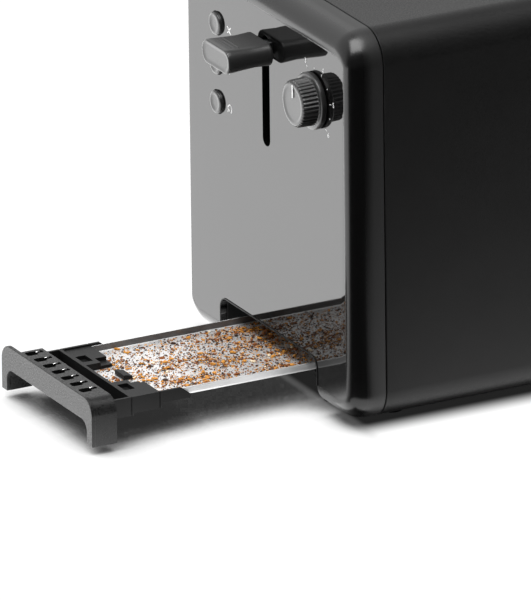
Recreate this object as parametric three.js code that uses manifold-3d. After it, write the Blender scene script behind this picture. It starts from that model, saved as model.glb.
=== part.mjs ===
// A two-slot pop-up toaster with its crumb tray drawn out. Millimetres, +Z up, +X from the tray end
// to the cord end. The parts are laid out with the tray end's face at X = 0 and the table at Z = 0,
// and the whole assembly is then slid along X so that the origin is under its middle.
import * as THREE from "three";
import { mergeVertices } from "three/addons/utils/BufferGeometryUtils.js";
import Module from "manifold-3d";

const wasm = await Module();
wasm.setup();

// ---- driving dimensions -------------------------------------------------------------------------
const GAP = 0.3; // clearance between pieces that touch
const LOOSE_GAP = 0.4; // and round a shaft, or behind a panel
const PAST = 1; // how far a cutting tool runs past the face that it cuts

const LENGTH = 300;
const WIDTH = 171;
const BOTTOM = 4; // underside of the body above the table
const TOP = 200;
const CORNER_R = 16; // body corners seen from the end
const WALL = 2;

const END_DEPTH = 18.2; // end frames, up to the seam with the housing shell
const SEAM = 0.5;
const EDGE_X = 13; // soft rounding of the end faces: how far back it runs
const EDGE_Y = 6.2; // and how far it comes in at the sides
const EDGE_Z = 10.75; // and at the top and bottom
const PANEL_DEPTH = 3;

const LEVER_SLOT_W = 7.6;
const LEVER_SLOT_Z = [121, 177];
const LEVER_Z = [168, 174];
const LEVER_TRAVEL = 46;
const KNOB = { y: -50, z: 160, radius: 14, shaft: 3 };
const BUTTON_Y = 50;
const BUTTON_R = 5.8;
const BUTTONS = { stop_button: 168, defrost_button: 148, reheat_button: 128 };

const TRAY_OUT = 120; // how far the tray is drawn out
const OPENING_Y = 49.5; // half width of the tray opening
const OPENING_Z = 28.5;
const OPENING_R = 5.5;

const SLOT_LENGTH = 146;
const SLOT_WIDTH = 34;
const SLOT_Y = 34; // centre of each bread slot, either side of the middle
const CHAMBER_X = [82, 244];
const CHAMBER_Z = [38, 186];
const SLOT_X = (CHAMBER_X[0] + CHAMBER_X[1]) / 2;

const CHASSIS_X = [79, 246]; // front faces of the two chassis plates
const SHEET = 1.2;
const SHELF_Z = [32, 188];
const ROD_X = 42;
const ROD_Y = 14;
const ROD_R = 3;
const CARRIAGE_Z = 95;
const LIFTER_Z = 100;

const FOOT_X = 34.3;
const FOOT_Y = 60.3;
const FOOT_R = 5.3;
const FOOT_STEM_R = 2.6;
const SCREW_X = [85, 241];
const SCREW_Y = 62;
const SCREW_R = 1.6;

// ---- materials ----------------------------------------------------------------------------------
const material = (color, roughness, metalness) =>
  new THREE.MeshStandardMaterial({ color, roughness, metalness });
const SATIN_BLACK = material(0x17181a, 0.5, 0);
const MATT_BLACK = material(0x1b1c1d, 0.65, 0);
const GLOSS_BLACK = material(0x0a0a0c, 0.12, 0.1);
const RUBBER = material(0x101010, 0.9, 0);
const STEEL = material(0xb9bbbd, 0.35, 1);
const BRIGHT_STEEL = material(0xd6d8da, 0.2, 1);
const MICA = material(0xb7a27c, 0.7, 0);
const BOARD_GREEN = material(0x1d5a35, 0.55, 0);
const COIL_COPPER = material(0x9a5a2c, 0.4, 0.8);

// ---- solids -------------------------------------------------------------------------------------
function solidFrom(geometry) {
  geometry.deleteAttribute("normal");
  geometry.deleteAttribute("uv");
  const merged = mergeVertices(geometry, 1e-4);
  const vertProperties = merged.attributes.position.array;
  const triVerts = new Uint32Array(merged.index.array);
  return new wasm.Manifold(new wasm.Mesh({ numProp: 3, vertProperties, triVerts }));
}

function box([x0, x1], [y0, y1], [z0, z1]) {
  const geometry = new THREE.BoxGeometry(x1 - x0, y1 - y0, z1 - z0);
  geometry.translate((x0 + x1) / 2, (y0 + y1) / 2, (z0 + z1) / 2);
  return solidFrom(geometry);
}

// A box from y0 to y1 on the side of the middle that side (+1 or -1) names.
const sideBox = (side, xs, [y0, y1], zs) =>
  box(xs, side > 0 ? [y0, y1] : [-y1, -y0], zs);

function rodX(radius, [x0, x1], [y, z], sides = 18) {
  const geometry = new THREE.CylinderGeometry(radius, radius, x1 - x0, sides);
  geometry.rotateZ(-Math.PI / 2);
  geometry.translate((x0 + x1) / 2, y, z);
  return solidFrom(geometry);
}

function rodZ(radius, [z0, z1], [x, y], sides = 20) {
  const geometry = new THREE.CylinderGeometry(radius, radius, z1 - z0, sides);
  geometry.rotateX(Math.PI / 2);
  geometry.translate(x, y, (z0 + z1) / 2);
  return solidFrom(geometry);
}

const AXIS_X = new THREE.Vector3(1, 0, 0);
const AXIS_Y = new THREE.Vector3(0, 1, 0);
const AXIS_Z = new THREE.Vector3(0, 0, 1);
const ALONG_X = new THREE.Matrix4().makeBasis(AXIS_Y, AXIS_Z, AXIS_X); // outline in (y, z)
const ALONG_Y = new THREE.Matrix4().makeBasis(AXIS_Z, AXIS_X, AXIS_Y); // outline in (z, x)
const ALONG_Z = new THREE.Matrix4(); // outline in (x, y)

function prism(shape, direction, [from, to], curveSegments = 4) {
  const options = { depth: to - from, bevelEnabled: false, curveSegments };
  const geometry = new THREE.ExtrudeGeometry(shape, options);
  geometry.translate(0, 0, from);
  geometry.applyMatrix4(direction);
  return solidFrom(geometry);
}

function roundedRect([u0, u1], [v0, v1], r) {
  const shape = new THREE.Shape();
  shape.moveTo(u0 + r, v0);
  shape.lineTo(u1 - r, v0);
  shape.absarc(u1 - r, v0 + r, r, -Math.PI / 2, 0);
  shape.lineTo(u1, v1 - r);
  shape.absarc(u1 - r, v1 - r, r, 0, Math.PI / 2);
  shape.lineTo(u0 + r, v1);
  shape.absarc(u0 + r, v1 - r, r, Math.PI / 2, Math.PI);
  shape.lineTo(u0, v0 + r);
  shape.absarc(u0 + r, v0 + r, r, Math.PI, Math.PI * 1.5);
  return shape;
}

// An upright arch in (y, z): straight sides, rounded top corners, flat bottom.
function archShape(halfWidth, [z0, z1], r) {
  const shape = new THREE.Shape();
  shape.moveTo(-halfWidth, z0);
  shape.lineTo(halfWidth, z0);
  shape.lineTo(halfWidth, z1 - r);
  shape.absarc(halfWidth - r, z1 - r, r, 0, Math.PI / 2);
  shape.lineTo(r - halfWidth, z1);
  shape.absarc(r - halfWidth, z1 - r, r, Math.PI / 2, Math.PI);
  shape.lineTo(-halfWidth, z0);
  return shape;
}

// A solid through rings of points, which turn the same way about +X and have equal counts.
function loft(rings) {
  const count = rings[0].length;
  const index = [];
  for (let i = 0; i + 1 < rings.length; i += 1) {
    for (let j = 0; j < count; j += 1) {
      const a = i * count + j;
      const b = i * count + ((j + 1) % count);
      index.push(a, b, b + count, a, b + count, a + count);
    }
  }
  const last = (rings.length - 1) * count;
  for (let j = 1; j + 1 < count; j += 1) {
    index.push(0, j + 1, j, last, last + j, last + j + 1);
  }
  const geometry = new THREE.BufferGeometry().setFromPoints(rings.flat());
  geometry.setIndex(index);
  return solidFrom(geometry);
}

const union = (...solids) => solids.reduce((whole, piece) => whole.add(piece));
const cut = (whole, ...tools) => tools.reduce((rest, tool) => rest.subtract(tool), whole);

const assembly = new THREE.Group();

function place(name, solid, finish) {
  const { vertProperties, triVerts } = solid.getMesh();
  const geometry = new THREE.BufferGeometry();
  geometry.setAttribute("position", new THREE.BufferAttribute(vertProperties, 3));
  geometry.setIndex(new THREE.BufferAttribute(triVerts, 1));
  geometry.computeVertexNormals();
  const mesh = new THREE.Mesh(geometry, finish);
  mesh.name = name;
  assembly.add(mesh);
  return mesh;
}

// Turns a piece made for the tray end round to the cord end.
function turnToRear(mesh) {
  mesh.rotation.z = Math.PI;
  mesh.position.x = LENGTH;
}

// ---- body outline -------------------------------------------------------------------------------
const CORNER_STEPS = 4;
const EDGE_STEPS = 4;

// The body's outline at x, taken in by insetY at the sides and insetZ at the top and bottom.
function outlineRing(x, insetY, insetZ) {
  const ring = [];
  const cy = WIDTH / 2 - CORNER_R;
  const cornerZ = { low: BOTTOM + CORNER_R, high: TOP - CORNER_R };
  const corners = [
    [cy, cornerZ.high],
    [-cy, cornerZ.high],
    [-cy, cornerZ.low],
    [cy, cornerZ.low],
  ];
  corners.forEach(([y, z], quarter) => {
    for (let step = 0; step <= CORNER_STEPS; step += 1) {
      const angle = ((quarter + step / CORNER_STEPS) * Math.PI) / 2;
      const dy = (CORNER_R - insetY) * Math.cos(angle);
      const dz = (CORNER_R - insetZ) * Math.sin(angle);
      ring.push(new THREE.Vector3(x, y + dy, z + dz));
    }
  });
  return ring;
}

const outlinePrism = ([x0, x1], insetY, insetZ) =>
  loft([outlineRing(x0, insetY, insetZ), outlineRing(x1, insetY, insetZ)]);

function endBlock() {
  const rings = [];
  for (let i = EDGE_STEPS; i >= 0; i -= 1) {
    const angle = ((i / EDGE_STEPS) * Math.PI) / 2;
    const share = 1 - Math.cos(angle);
    rings.push(outlineRing(EDGE_X * (1 - Math.sin(angle)), EDGE_Y * share, EDGE_Z * share));
  }
  rings.push(outlineRing(END_DEPTH, 0, 0));
  return loft(rings);
}

const PANEL_SEAT = 0.25; // the frame's thin lip round the panel
const FLANGE = 3; // ledge behind the panel's edge
const FLANGE_BACK = 5.5;
const FRAME_WALL_Y = 3.2;
const FRAME_WALL_Z = 4.2;

function endFrame() {
  const lip = outlinePrism([-PAST, PANEL_DEPTH + GAP], EDGE_Y + PANEL_SEAT, EDGE_Z + PANEL_SEAT);
  const window = outlinePrism([-PAST, END_DEPTH + PAST], EDGE_Y + FLANGE, EDGE_Z + FLANGE);
  const hollow = outlinePrism([FLANGE_BACK, END_DEPTH + PAST], FRAME_WALL_Y, FRAME_WALL_Z);
  return cut(endBlock(), lip, window, hollow);
}

const endPanel = () =>
  outlinePrism([0, PANEL_DEPTH], EDGE_Y + PANEL_SEAT * 2, EDGE_Z + PANEL_SEAT * 2);
const THROUGH_PANEL = [-PAST, PANEL_DEPTH + PAST];

const BEZEL_WALL = 2.4;
const BEZEL_BACK = 40;
const BEZEL_X = [PANEL_DEPTH + LOOSE_GAP, BEZEL_BACK];

const trayArch = (grow, xs, z0 = 0) =>
  prism(archShape(OPENING_Y + grow, [z0, OPENING_Z + grow], OPENING_R), ALONG_X, xs);

function frontFrame() {
  const bezelRoom = trayArch(BEZEL_WALL + GAP, [BEZEL_X[0] - GAP, END_DEPTH + PAST]);
  return cut(endFrame(), trayArch(0, [-PAST, END_DEPTH]), bezelRoom);
}

function controlPanel() {
  const half = LEVER_SLOT_W / 2;
  const slot = roundedRect([-half, half], LEVER_SLOT_Z, half - 0.01);
  const buttonHoles = Object.values(BUTTONS).map((z) =>
    rodX(BUTTON_R + GAP, THROUGH_PANEL, [BUTTON_Y, z]));
  const shaftHole = rodX(KNOB.shaft + LOOSE_GAP, THROUGH_PANEL, [KNOB.y, KNOB.z], 16);
  const leverSlot = prism(slot, ALONG_X, THROUGH_PANEL);
  return cut(endPanel(), trayArch(0, THROUGH_PANEL), leverSlot, shaftHole, ...buttonHoles);
}

function trayBezel() {
  const outer = trayArch(BEZEL_WALL, BEZEL_X, BOTTOM + WALL + GAP * 2);
  return cut(outer, trayArch(-GAP, [0, BEZEL_BACK + PAST]));
}

const GLAND = { y: -47, z: 32, radius: 7, length: 12, bore: 3.4 };
const GLAND_MOUTH = { radius: 5, depth: 2 };
const GLAND_COLLAR = { proud: 1.6, back: 7 };
const VENTS = { count: 6, low: 110, pitch: 10, height: 4, half: 30 };

function rearPanel() {
  const vents = [];
  for (let i = 0; i < VENTS.count; i += 1) {
    const z = VENTS.low + i * VENTS.pitch;
    const shape = roundedRect([-VENTS.half, VENTS.half], [z, z + VENTS.height], VENTS.height / 2 - 0.1);
    vents.push(prism(shape, ALONG_X, THROUGH_PANEL, 2));
  }
  return cut(endPanel(), rodX(GLAND.radius + GAP, THROUGH_PANEL, [GLAND.y, GLAND.z]), ...vents);
}

// A moulded ring that would grip a mains lead, with its mouth outwards and a snap collar inside.
function cordGland() {
  const centre = [GLAND.y, GLAND.z];
  const body = rodX(GLAND.radius, [0, GLAND.length], centre);
  const collar = rodX(GLAND.radius + GLAND_COLLAR.proud, [PANEL_DEPTH + GAP, GLAND_COLLAR.back], centre);
  const mouth = rodX(GLAND_MOUTH.radius, [-PAST, GLAND_MOUTH.depth], centre);
  const bore = rodX(GLAND.bore, [-PAST, GLAND.length + PAST], centre, 16);
  return cut(union(body, collar), mouth, bore);
}

const SHELL_X = [END_DEPTH + SEAM, LENGTH - END_DEPTH - SEAM];
const BASE_Y = 68.5;
const TRIM_WALL = 1.5;
const TRIM_DEPTH = 10;
const TRIM_FLANGE = { grow: 5, radius: 8, z: [TOP + 0.2, TOP + 1] };
const SLOT_R = 4;
const THROAT_R = 5;

const slotShape = (y, grow, r) =>
  roundedRect(
    [SLOT_X - SLOT_LENGTH / 2 - grow, SLOT_X + SLOT_LENGTH / 2 + grow],
    [y - SLOT_WIDTH / 2 - grow, y + SLOT_WIDTH / 2 + grow],
    r,
  );

function housingShell() {
  const inside = outlinePrism([SHELL_X[0] - PAST, SHELL_X[1] + PAST], WALL, WALL);
  const underside = box([0, LENGTH], [-BASE_Y - GAP, BASE_Y + GAP], [0, BOTTOM + WALL * 2]);
  const slots = [-SLOT_Y, SLOT_Y].map((y) =>
    prism(slotShape(y, TRIM_WALL + GAP, THROAT_R), ALONG_Z, [TOP - TRIM_DEPTH, TOP + PAST]));
  return cut(outlinePrism(SHELL_X, 0, 0), inside, underside, ...slots);
}

function slotTrim(y) {
  const middle = (TRIM_FLANGE.z[0] + TRIM_FLANGE.z[1]) / 2;
  const throat = prism(slotShape(y, TRIM_WALL, THROAT_R), ALONG_Z, [TOP - TRIM_DEPTH, middle]);
  const flange = prism(slotShape(y, TRIM_FLANGE.grow, TRIM_FLANGE.radius), ALONG_Z, TRIM_FLANGE.z);
  const hole = prism(slotShape(y, 0, SLOT_R), ALONG_Z, [TOP - TRIM_DEPTH - PAST, TRIM_FLANGE.z[1] + PAST]);
  return cut(union(throat, flange), hole);
}

// ---- base ---------------------------------------------------------------------------------------
const BASE_X = [SHELL_X[0] + GAP, SHELL_X[1] - GAP];
const BASE_TOP = BOTTOM + WALL;
const BASE_VENTS = { count: 7, first: 105, pitch: 18, width: 5, ys: [11, 45] };
const FOOT_XS = [FOOT_X, LENGTH - FOOT_X];
const SIDES = [-1, 1];
const SIDE_NAMES = { "-1": "near", 1: "far" };

function basePlate() {
  const through = [BOTTOM - PAST, BASE_TOP + PAST];
  const holes = [];
  for (const side of SIDES) {
    for (const x of FOOT_XS) holes.push(rodZ(FOOT_STEM_R + GAP, through, [x, side * FOOT_Y], 10));
    for (const x of SCREW_X) holes.push(rodZ(SCREW_R + GAP, through, [x, side * SCREW_Y], 10));
    for (let i = 0; i < BASE_VENTS.count; i += 1) {
      const x = BASE_VENTS.first + i * BASE_VENTS.pitch;
      holes.push(sideBox(side, [x, x + BASE_VENTS.width], BASE_VENTS.ys, through));
    }
  }
  return cut(box(BASE_X, [-BASE_Y, BASE_Y], [BOTTOM, BASE_TOP]), ...holes);
}

const FOOT_CHAMFER = 0.5;
const FOOT_FLARE = 0.7;
const FOOT_STEM_TOP = BASE_TOP + 2;

function foot(x, y) {
  const shoulder = BOTTOM - GAP;
  const profile = [
    [0, 0],
    [FOOT_R - FOOT_CHAMFER, 0],
    [FOOT_R, FOOT_CHAMFER],
    [FOOT_R + FOOT_FLARE, shoulder],
    [FOOT_STEM_R, shoulder],
    [FOOT_STEM_R, FOOT_STEM_TOP],
    [0, FOOT_STEM_TOP],
  ].map(([r, z]) => new THREE.Vector2(r, z));
  const geometry = new THREE.LatheGeometry(profile, 16);
  geometry.rotateX(Math.PI / 2);
  geometry.translate(x, y, 0);
  return solidFrom(geometry);
}

const SCREW_HEAD = { radius: 3.4, height: 1.6, recess: 0.7 };
const SCREW_CROSS = { half: 2, width: 0.8 };
const SCREW_TIP = BASE_TOP + 6;

function screw(x, y) {
  const top = BOTTOM - GAP;
  const low = top - SCREW_HEAD.height;
  const head = rodZ(SCREW_HEAD.radius, [low, top], [x, y], 16);
  const shank = rodZ(SCREW_R, [top - SCREW_HEAD.height / 3, SCREW_TIP], [x, y], 10);
  const recess = [low - PAST, low + SCREW_HEAD.recess];
  const long = (middle) => [middle - SCREW_CROSS.half, middle + SCREW_CROSS.half];
  const thin = (middle) => [middle - SCREW_CROSS.width / 2, middle + SCREW_CROSS.width / 2];
  const cross = union(box(long(x), thin(y), recess), box(thin(x), long(y), recess));
  return cut(union(head, shank), cross);
}

const GUIDE_X = [60, 276];
const GUIDE_WALL = { ys: [38.8, 41], top: 24 };
const GUIDE_LEDGE = { ys: [34.9, 39.2], zs: [14.5, 17.1] };

function trayGuide(side) {
  const wall = sideBox(side, GUIDE_X, GUIDE_WALL.ys, [BASE_TOP + GAP, GUIDE_WALL.top]);
  const ledge = sideBox(side, GUIDE_X, GUIDE_LEDGE.ys, GUIDE_LEDGE.zs);
  return union(wall, ledge);
}

// ---- chassis and oven ---------------------------------------------------------------------------
const PLATE_Y = 71;
const PLATE_TOP = 190;
const PLATE_LEG_Y = [54.5, 70];
const PLATE_FOOT = { ys: [54.5, 67], length: 10 };
const SHELF_HALF = 22;
const JOIN = 0.5; // how far two pieces of one part run into each other
const ROD_ROOM = 6; // half the width of what is built round a guide rod
const LIFTER_HALF = 5; // half the width of a bread lifter's tread
const LIFTER_WEB = { thickness: 2, depth: 7 };
const LIFTER_TREAD = 2;

// A plate across the body on two legs, each with a foot that is screwed to the base.
function chassisPlate(x, footXs) {
  const xs = [x, x + SHEET];
  const footZ = [BASE_TOP + GAP, BASE_TOP + GAP + SHEET];
  const pieces = [box(xs, [-PLATE_Y, PLATE_Y], [SHELF_Z[0], PLATE_TOP])];
  for (const side of SIDES) {
    pieces.push(sideBox(side, xs, PLATE_LEG_Y, [footZ[0], SHELF_Z[0] + 1]));
    pieces.push(sideBox(side, footXs, PLATE_FOOT.ys, footZ));
  }
  const screwHoles = SIDES.flatMap((side) => SCREW_X.map((screwX) =>
    rodZ(SCREW_R + GAP, [BASE_TOP, footZ[1] + PAST], [screwX, side * SCREW_Y], 10)));
  return cut(union(...pieces), ...screwHoles);
}

function frontChassis() {
  const x = CHASSIS_X[0];
  const shelves = SHELF_Z.map((z) =>
    box([ROD_X - ROD_ROOM, x + JOIN], [-SHELF_HALF, SHELF_HALF], [z, z + SHEET]));
  const rodHoles = SIDES.map((side) =>
    rodZ(ROD_R + GAP, [SHELF_Z[0] - PAST, SHELF_Z[1] + SHEET + PAST], [ROD_X, side * ROD_Y]));
  const roomHalf = LIFTER_HALF / 2;
  const roomZ = [LIFTER_Z - LEVER_TRAVEL - LIFTER_WEB.depth - 4, LIFTER_Z + 4];
  const lifterRoom = SIDES.map((side) =>
    sideBox(side, [x - PAST, x + SHEET + PAST], [SLOT_Y - roomHalf, SLOT_Y + roomHalf], roomZ));
  const plate = chassisPlate(x, [x + JOIN, x + SHEET + PLATE_FOOT.length]);
  return cut(union(plate, ...shelves), ...rodHoles, ...lifterRoom);
}

const rearChassis = () =>
  chassisPlate(CHASSIS_X[1], [CHASSIS_X[1] - PLATE_FOOT.length, CHASSIS_X[1] + JOIN]);

const SHIELD = { ys: [69, 69.8], zs: [34, 190] };
const heatShield = (side) => sideBox(side, CHAMBER_X, SHIELD.ys, SHIELD.zs);

const MICA_SHEET = 1;
const BOARD_Y = { inner: 8.5, outer: 60 };
const MICA_Z = [CHAMBER_Z[0] + 2, CHAMBER_Z[1] - 6];
const NOTCH = { pitch: 16, width: 3, depth: 2 };

// A thin board notched along its top and bottom edges, where the heating ribbon turns.
function heaterBoard(y) {
  const board = box(CHAMBER_X, [y - MICA_SHEET / 2, y + MICA_SHEET / 2], MICA_Z);
  const notches = [];
  for (let x = CHAMBER_X[0] + NOTCH.pitch; x < CHAMBER_X[1] - NOTCH.pitch / 2; x += NOTCH.pitch) {
    const xs = [x, x + NOTCH.width];
    const ys = [y - MICA_SHEET, y + MICA_SHEET];
    notches.push(box(xs, ys, [MICA_Z[0] - PAST, MICA_Z[0] + NOTCH.depth]));
    notches.push(box(xs, ys, [MICA_Z[1] - NOTCH.depth, MICA_Z[1] + PAST]));
  }
  return cut(board, ...notches);
}

const CAGE = { wire: 1.6, count: 9, inset: 4, lift: 1 };

// A flat cage of upright wires between two rails.
function breadGuide(y) {
  const { wire, count, inset, lift } = CAGE;
  const ys = [y - wire / 2, y + wire / 2];
  const xs = [CHAMBER_X[0] + inset, CHAMBER_X[1] - inset];
  const rails = [CHAMBER_Z[0] + lift, CHAMBER_Z[1] - wire].map((z) => box(xs, ys, [z, z + wire]));
  const wires = [];
  for (let i = 0; i < count; i += 1) {
    const x = xs[0] + ((xs[1] - xs[0] - wire) * i) / (count - 1);
    wires.push(box([x, x + wire], ys, [CHAMBER_Z[0] + lift, CHAMBER_Z[1]]));
  }
  return union(...rails, ...wires);
}

// ---- lift mechanism -----------------------------------------------------------------------------
const CARRIAGE_X = [49, 51];
const CARRIAGE_HALF = 14;
const CARRIAGE_CROSS = { half: 37, height: 8 };
const HUB_HEIGHT = 25;

function carriage() {
  const top = LEVER_Z[1] + 2;
  const back = box(CARRIAGE_X, [-CARRIAGE_HALF, CARRIAGE_HALF], [CARRIAGE_Z, top]);
  const cross = box(CARRIAGE_X, [-CARRIAGE_CROSS.half, CARRIAGE_CROSS.half],
    [CARRIAGE_Z, CARRIAGE_Z + CARRIAGE_CROSS.height]);
  const hubs = SIDES.map((side) =>
    sideBox(side, [ROD_X - ROD_ROOM, CARRIAGE_X[1]], [ROD_Y - ROD_ROOM, ROD_Y + ROD_ROOM],
      [CARRIAGE_Z, CARRIAGE_Z + HUB_HEIGHT]));
  const bores = SIDES.map((side) =>
    rodZ(ROD_R + GAP, [CARRIAGE_Z - PAST, CARRIAGE_Z + HUB_HEIGHT + PAST], [ROD_X, side * ROD_Y]));
  return cut(union(back, cross, ...hubs), ...bores);
}

function breadLifter(side) {
  const end = CHAMBER_X[1] - 6;
  const webHalf = LIFTER_WEB.thickness / 2;
  const web = sideBox(side, [CARRIAGE_X[1] + GAP, end], [SLOT_Y - webHalf, SLOT_Y + webHalf],
    [LIFTER_Z - LIFTER_WEB.depth, LIFTER_Z - LIFTER_TREAD / 2]);
  const tread = sideBox(side, [CHAMBER_X[0] + 2, end], [SLOT_Y - LIFTER_HALF, SLOT_Y + LIFTER_HALF],
    [LIFTER_Z - LIFTER_TREAD, LIFTER_Z]);
  return union(web, tread);
}

const LEVER_TIP = -14; // the lever arm's outer end
const LEVER_HALF = 2.5;
const LEVER_FOOT = { half: 8, drop: 8, thickness: 2 };
const PADDLE = { half: 14, halfHeight: 6, radius: 5.5, front: -27 };

function leverArm() {
  const end = CARRIAGE_X[0] - GAP;
  const bar = box([LEVER_TIP, end], [-LEVER_HALF, LEVER_HALF], LEVER_Z);
  const foot = box([end - LEVER_FOOT.thickness, end], [-LEVER_FOOT.half, LEVER_FOOT.half],
    [LEVER_Z[0] - LEVER_FOOT.drop, LEVER_Z[1]]);
  return union(bar, foot);
}

function leverKnob() {
  const z = (LEVER_Z[0] + LEVER_Z[1]) / 2;
  const { half, halfHeight, radius, front } = PADDLE;
  const shape = roundedRect([-half, half], [z - halfHeight, z + halfHeight], radius);
  const paddle = prism(shape, ALONG_X, [front, -LEVER_HALF], 6);
  const socket = box([LEVER_TIP - GAP, 0], [-LEVER_HALF - GAP, LEVER_HALF + GAP],
    [LEVER_Z[0] - GAP, LEVER_Z[1] + GAP]);
  return cut(paddle, socket);
}

const MAGNET_X = [53, 65];
const MAGNET = { half: 10, base: 3, poleInner: 6.5, coil: 6.6, air: 0.8 };
const ARMATURE_HALF = 9;
const ARMATURE_Z = [CARRIAGE_Z - 2, CARRIAGE_Z];

const armature = () =>
  box([CARRIAGE_X[1] + GAP, MAGNET_X[1] - 1], [-ARMATURE_HALF, ARMATURE_HALF], ARMATURE_Z);

function electromagnet() {
  const seat = SHELF_Z[0] + SHEET + GAP;
  const poleTop = ARMATURE_Z[0] - LEVER_TRAVEL - MAGNET.air;
  const yoke = box(MAGNET_X, [-MAGNET.half, MAGNET.half], [seat, seat + MAGNET.base]);
  const poles = SIDES.map((side) =>
    sideBox(side, [MAGNET_X[0] + 2, MAGNET_X[1] - 2], [MAGNET.poleInner, MAGNET.half], [seat, poleTop]));
  const coil = box([MAGNET_X[0] - 1, MAGNET_X[1] + 1], [-MAGNET.coil, MAGNET.coil],
    [seat + 2, poleTop - 2]);
  return union(yoke, coil, ...poles);
}

const guideRod = (side) =>
  rodZ(ROD_R, [SHELF_Z[0] - JOIN, SHELF_Z[1] + SHEET + 1], [ROD_X, side * ROD_Y], 16);

const SPRING_Z = [SHELF_Z[0] + SHEET + GAP, CARRIAGE_Z - GAP];
const SPRING = { turns: 7, wire: 0.7, radius: ROD_R + 1.6, stepsPerTurn: 12, endRoom: 0.1 };

// A compression spring round a guide rod, from the lower shelf to the carriage.
function returnSpring(side) {
  const { turns, wire, radius, stepsPerTurn, endRoom } = SPRING;
  class Helix extends THREE.Curve {
    getPoint(t, target = new THREE.Vector3()) {
      const angle = t * turns * Math.PI * 2;
      const z = THREE.MathUtils.lerp(SPRING_Z[0] + wire + endRoom, SPRING_Z[1] - wire - endRoom, t);
      return target.set(ROD_X + radius * Math.cos(angle), side * ROD_Y + radius * Math.sin(angle), z);
    }
  }
  const section = new THREE.Shape();
  section.absarc(0, 0, wire, 0, Math.PI * 2);
  const geometry = new THREE.ExtrudeGeometry(section, {
    steps: turns * stepsPerTurn,
    extrudePath: new Helix(),
    curveSegments: 2.5,
  });
  return solidFrom(geometry);
}

// ---- controls -----------------------------------------------------------------------------------
const BOARD_X = [15, 16.6];
const BOARD_HALF = 66;
const BOARD_Z = [110, 186];
const LEVER_ROOM = { half: 8, low: 116 };
const SWITCH = { front: 14.4, half: 3 };
const RELAY = { depth: 10.4, ys: [22, 40], zs: [118, 134] };
const CAPACITOR = { radius: 5, depth: 13.4, y: -30, z: 130 };
const CHIP = { depth: 2, ys: [20, 36], zs: [150, 162] };

function controlBoard() {
  const face = BOARD_X[1] - JOIN;
  const board = box(BOARD_X, [-BOARD_HALF, BOARD_HALF], BOARD_Z);
  const leverRoom = box([0, BOARD_X[1] + RELAY.depth], [-LEVER_ROOM.half, LEVER_ROOM.half],
    [LEVER_ROOM.low, BOARD_Z[1] + PAST]);
  const switches = Object.values(BUTTONS).map((z) =>
    box([SWITCH.front, BOARD_X[0] + JOIN], [BUTTON_Y - SWITCH.half, BUTTON_Y + SWITCH.half],
      [z - SWITCH.half, z + SWITCH.half]));
  const relay = box([face, BOARD_X[1] + RELAY.depth], RELAY.ys, RELAY.zs);
  const can = rodX(CAPACITOR.radius, [face, BOARD_X[1] + CAPACITOR.depth], [CAPACITOR.y, CAPACITOR.z], 16);
  const chip = box([face, BOARD_X[1] + CHIP.depth], CHIP.ys, CHIP.zs);
  return cut(union(board, ...switches, relay, can, chip), leverRoom);
}

const POT_X = [8, BOARD_X[0] - GAP];
const POT_HALF = 8;
const POT_FLOOR = 2;

function potentiometer() {
  const body = box(POT_X, [KNOB.y - POT_HALF, KNOB.y + POT_HALF], [KNOB.z - POT_HALF, KNOB.z + POT_HALF]);
  return cut(body, rodX(KNOB.shaft + GAP, [0, POT_X[1] - POT_FLOOR], [KNOB.y, KNOB.z], 16));
}

const DIAL_X = [-3.5, -0.5];
const GRIP = { front: -12, inset: 2.5 };

// A round dial with a raised grip, and the shaft it turns.
function browningKnob() {
  const centre = [KNOB.y, KNOB.z];
  const dial = rodX(KNOB.radius, DIAL_X, centre, 28);
  const grip = rodX(KNOB.radius - GRIP.inset, [GRIP.front, DIAL_X[0] + JOIN], centre, 28);
  const shaft = rodX(KNOB.shaft, [DIAL_X[1] - JOIN, POT_X[1] - POT_FLOOR - JOIN], centre, 16);
  return union(dial, grip, shaft);
}

const CAP_FRONT = -1.8; // how far a button stands out of the panel
const COLLAR = { proud: 1.7, back: 2 };
const STEM = { radius: 2, room: 1.8 }; // room between the stem and its switch

function button(z) {
  const centre = [BUTTON_Y, z];
  const cap = rodX(BUTTON_R, [CAP_FRONT, PANEL_DEPTH + 1], centre);
  const collar = rodX(BUTTON_R + COLLAR.proud, [PANEL_DEPTH + LOOSE_GAP, PANEL_DEPTH + COLLAR.back], centre);
  const stem = rodX(STEM.radius, [PANEL_DEPTH + 1, SWITCH.front - STEM.room], centre, 12);
  return union(cap, collar, stem);
}

// ---- crumb tray ---------------------------------------------------------------------------------
const FRONT_X = -TRAY_OUT;
const FACE = 2;
const HANDLE_BACK = FRONT_X + 13.6;
const HANDLE_Y = 47.2;
const LEG = 5.4;
const HANDLE_Z = [4.5, 27.8];
const ARCH_Z = 16;
const ARCH_R = 5.5;
const SHOULDER_R = 8;
const LEDGE_Z = 27.5;
const LEDGE_END_Y = 30.6; // the ledge stops short of the far leg
const LOW_Z = 17.8;
const LEDGE_SLOTS = { count: 7, pitch: 9.35, middle: -1.6, depth: 6 };
const SLOT_FRONT = { from: 3.4, to: 8, half: 1.4 }; // back from the handle's face
const SLOT_TAIL = { from: 7, to: 12, half: 0.9 };

function handleFace() {
  const shape = archShape(HANDLE_Y, HANDLE_Z, SHOULDER_R);
  const under = archShape(HANDLE_Y - LEG, [0, ARCH_Z], ARCH_R);
  const xs = [FRONT_X, FRONT_X + FACE];
  return cut(prism(shape, ALONG_X, xs), prism(under, ALONG_X, [FRONT_X - PAST, FRONT_X + FACE + PAST]));
}

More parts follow.
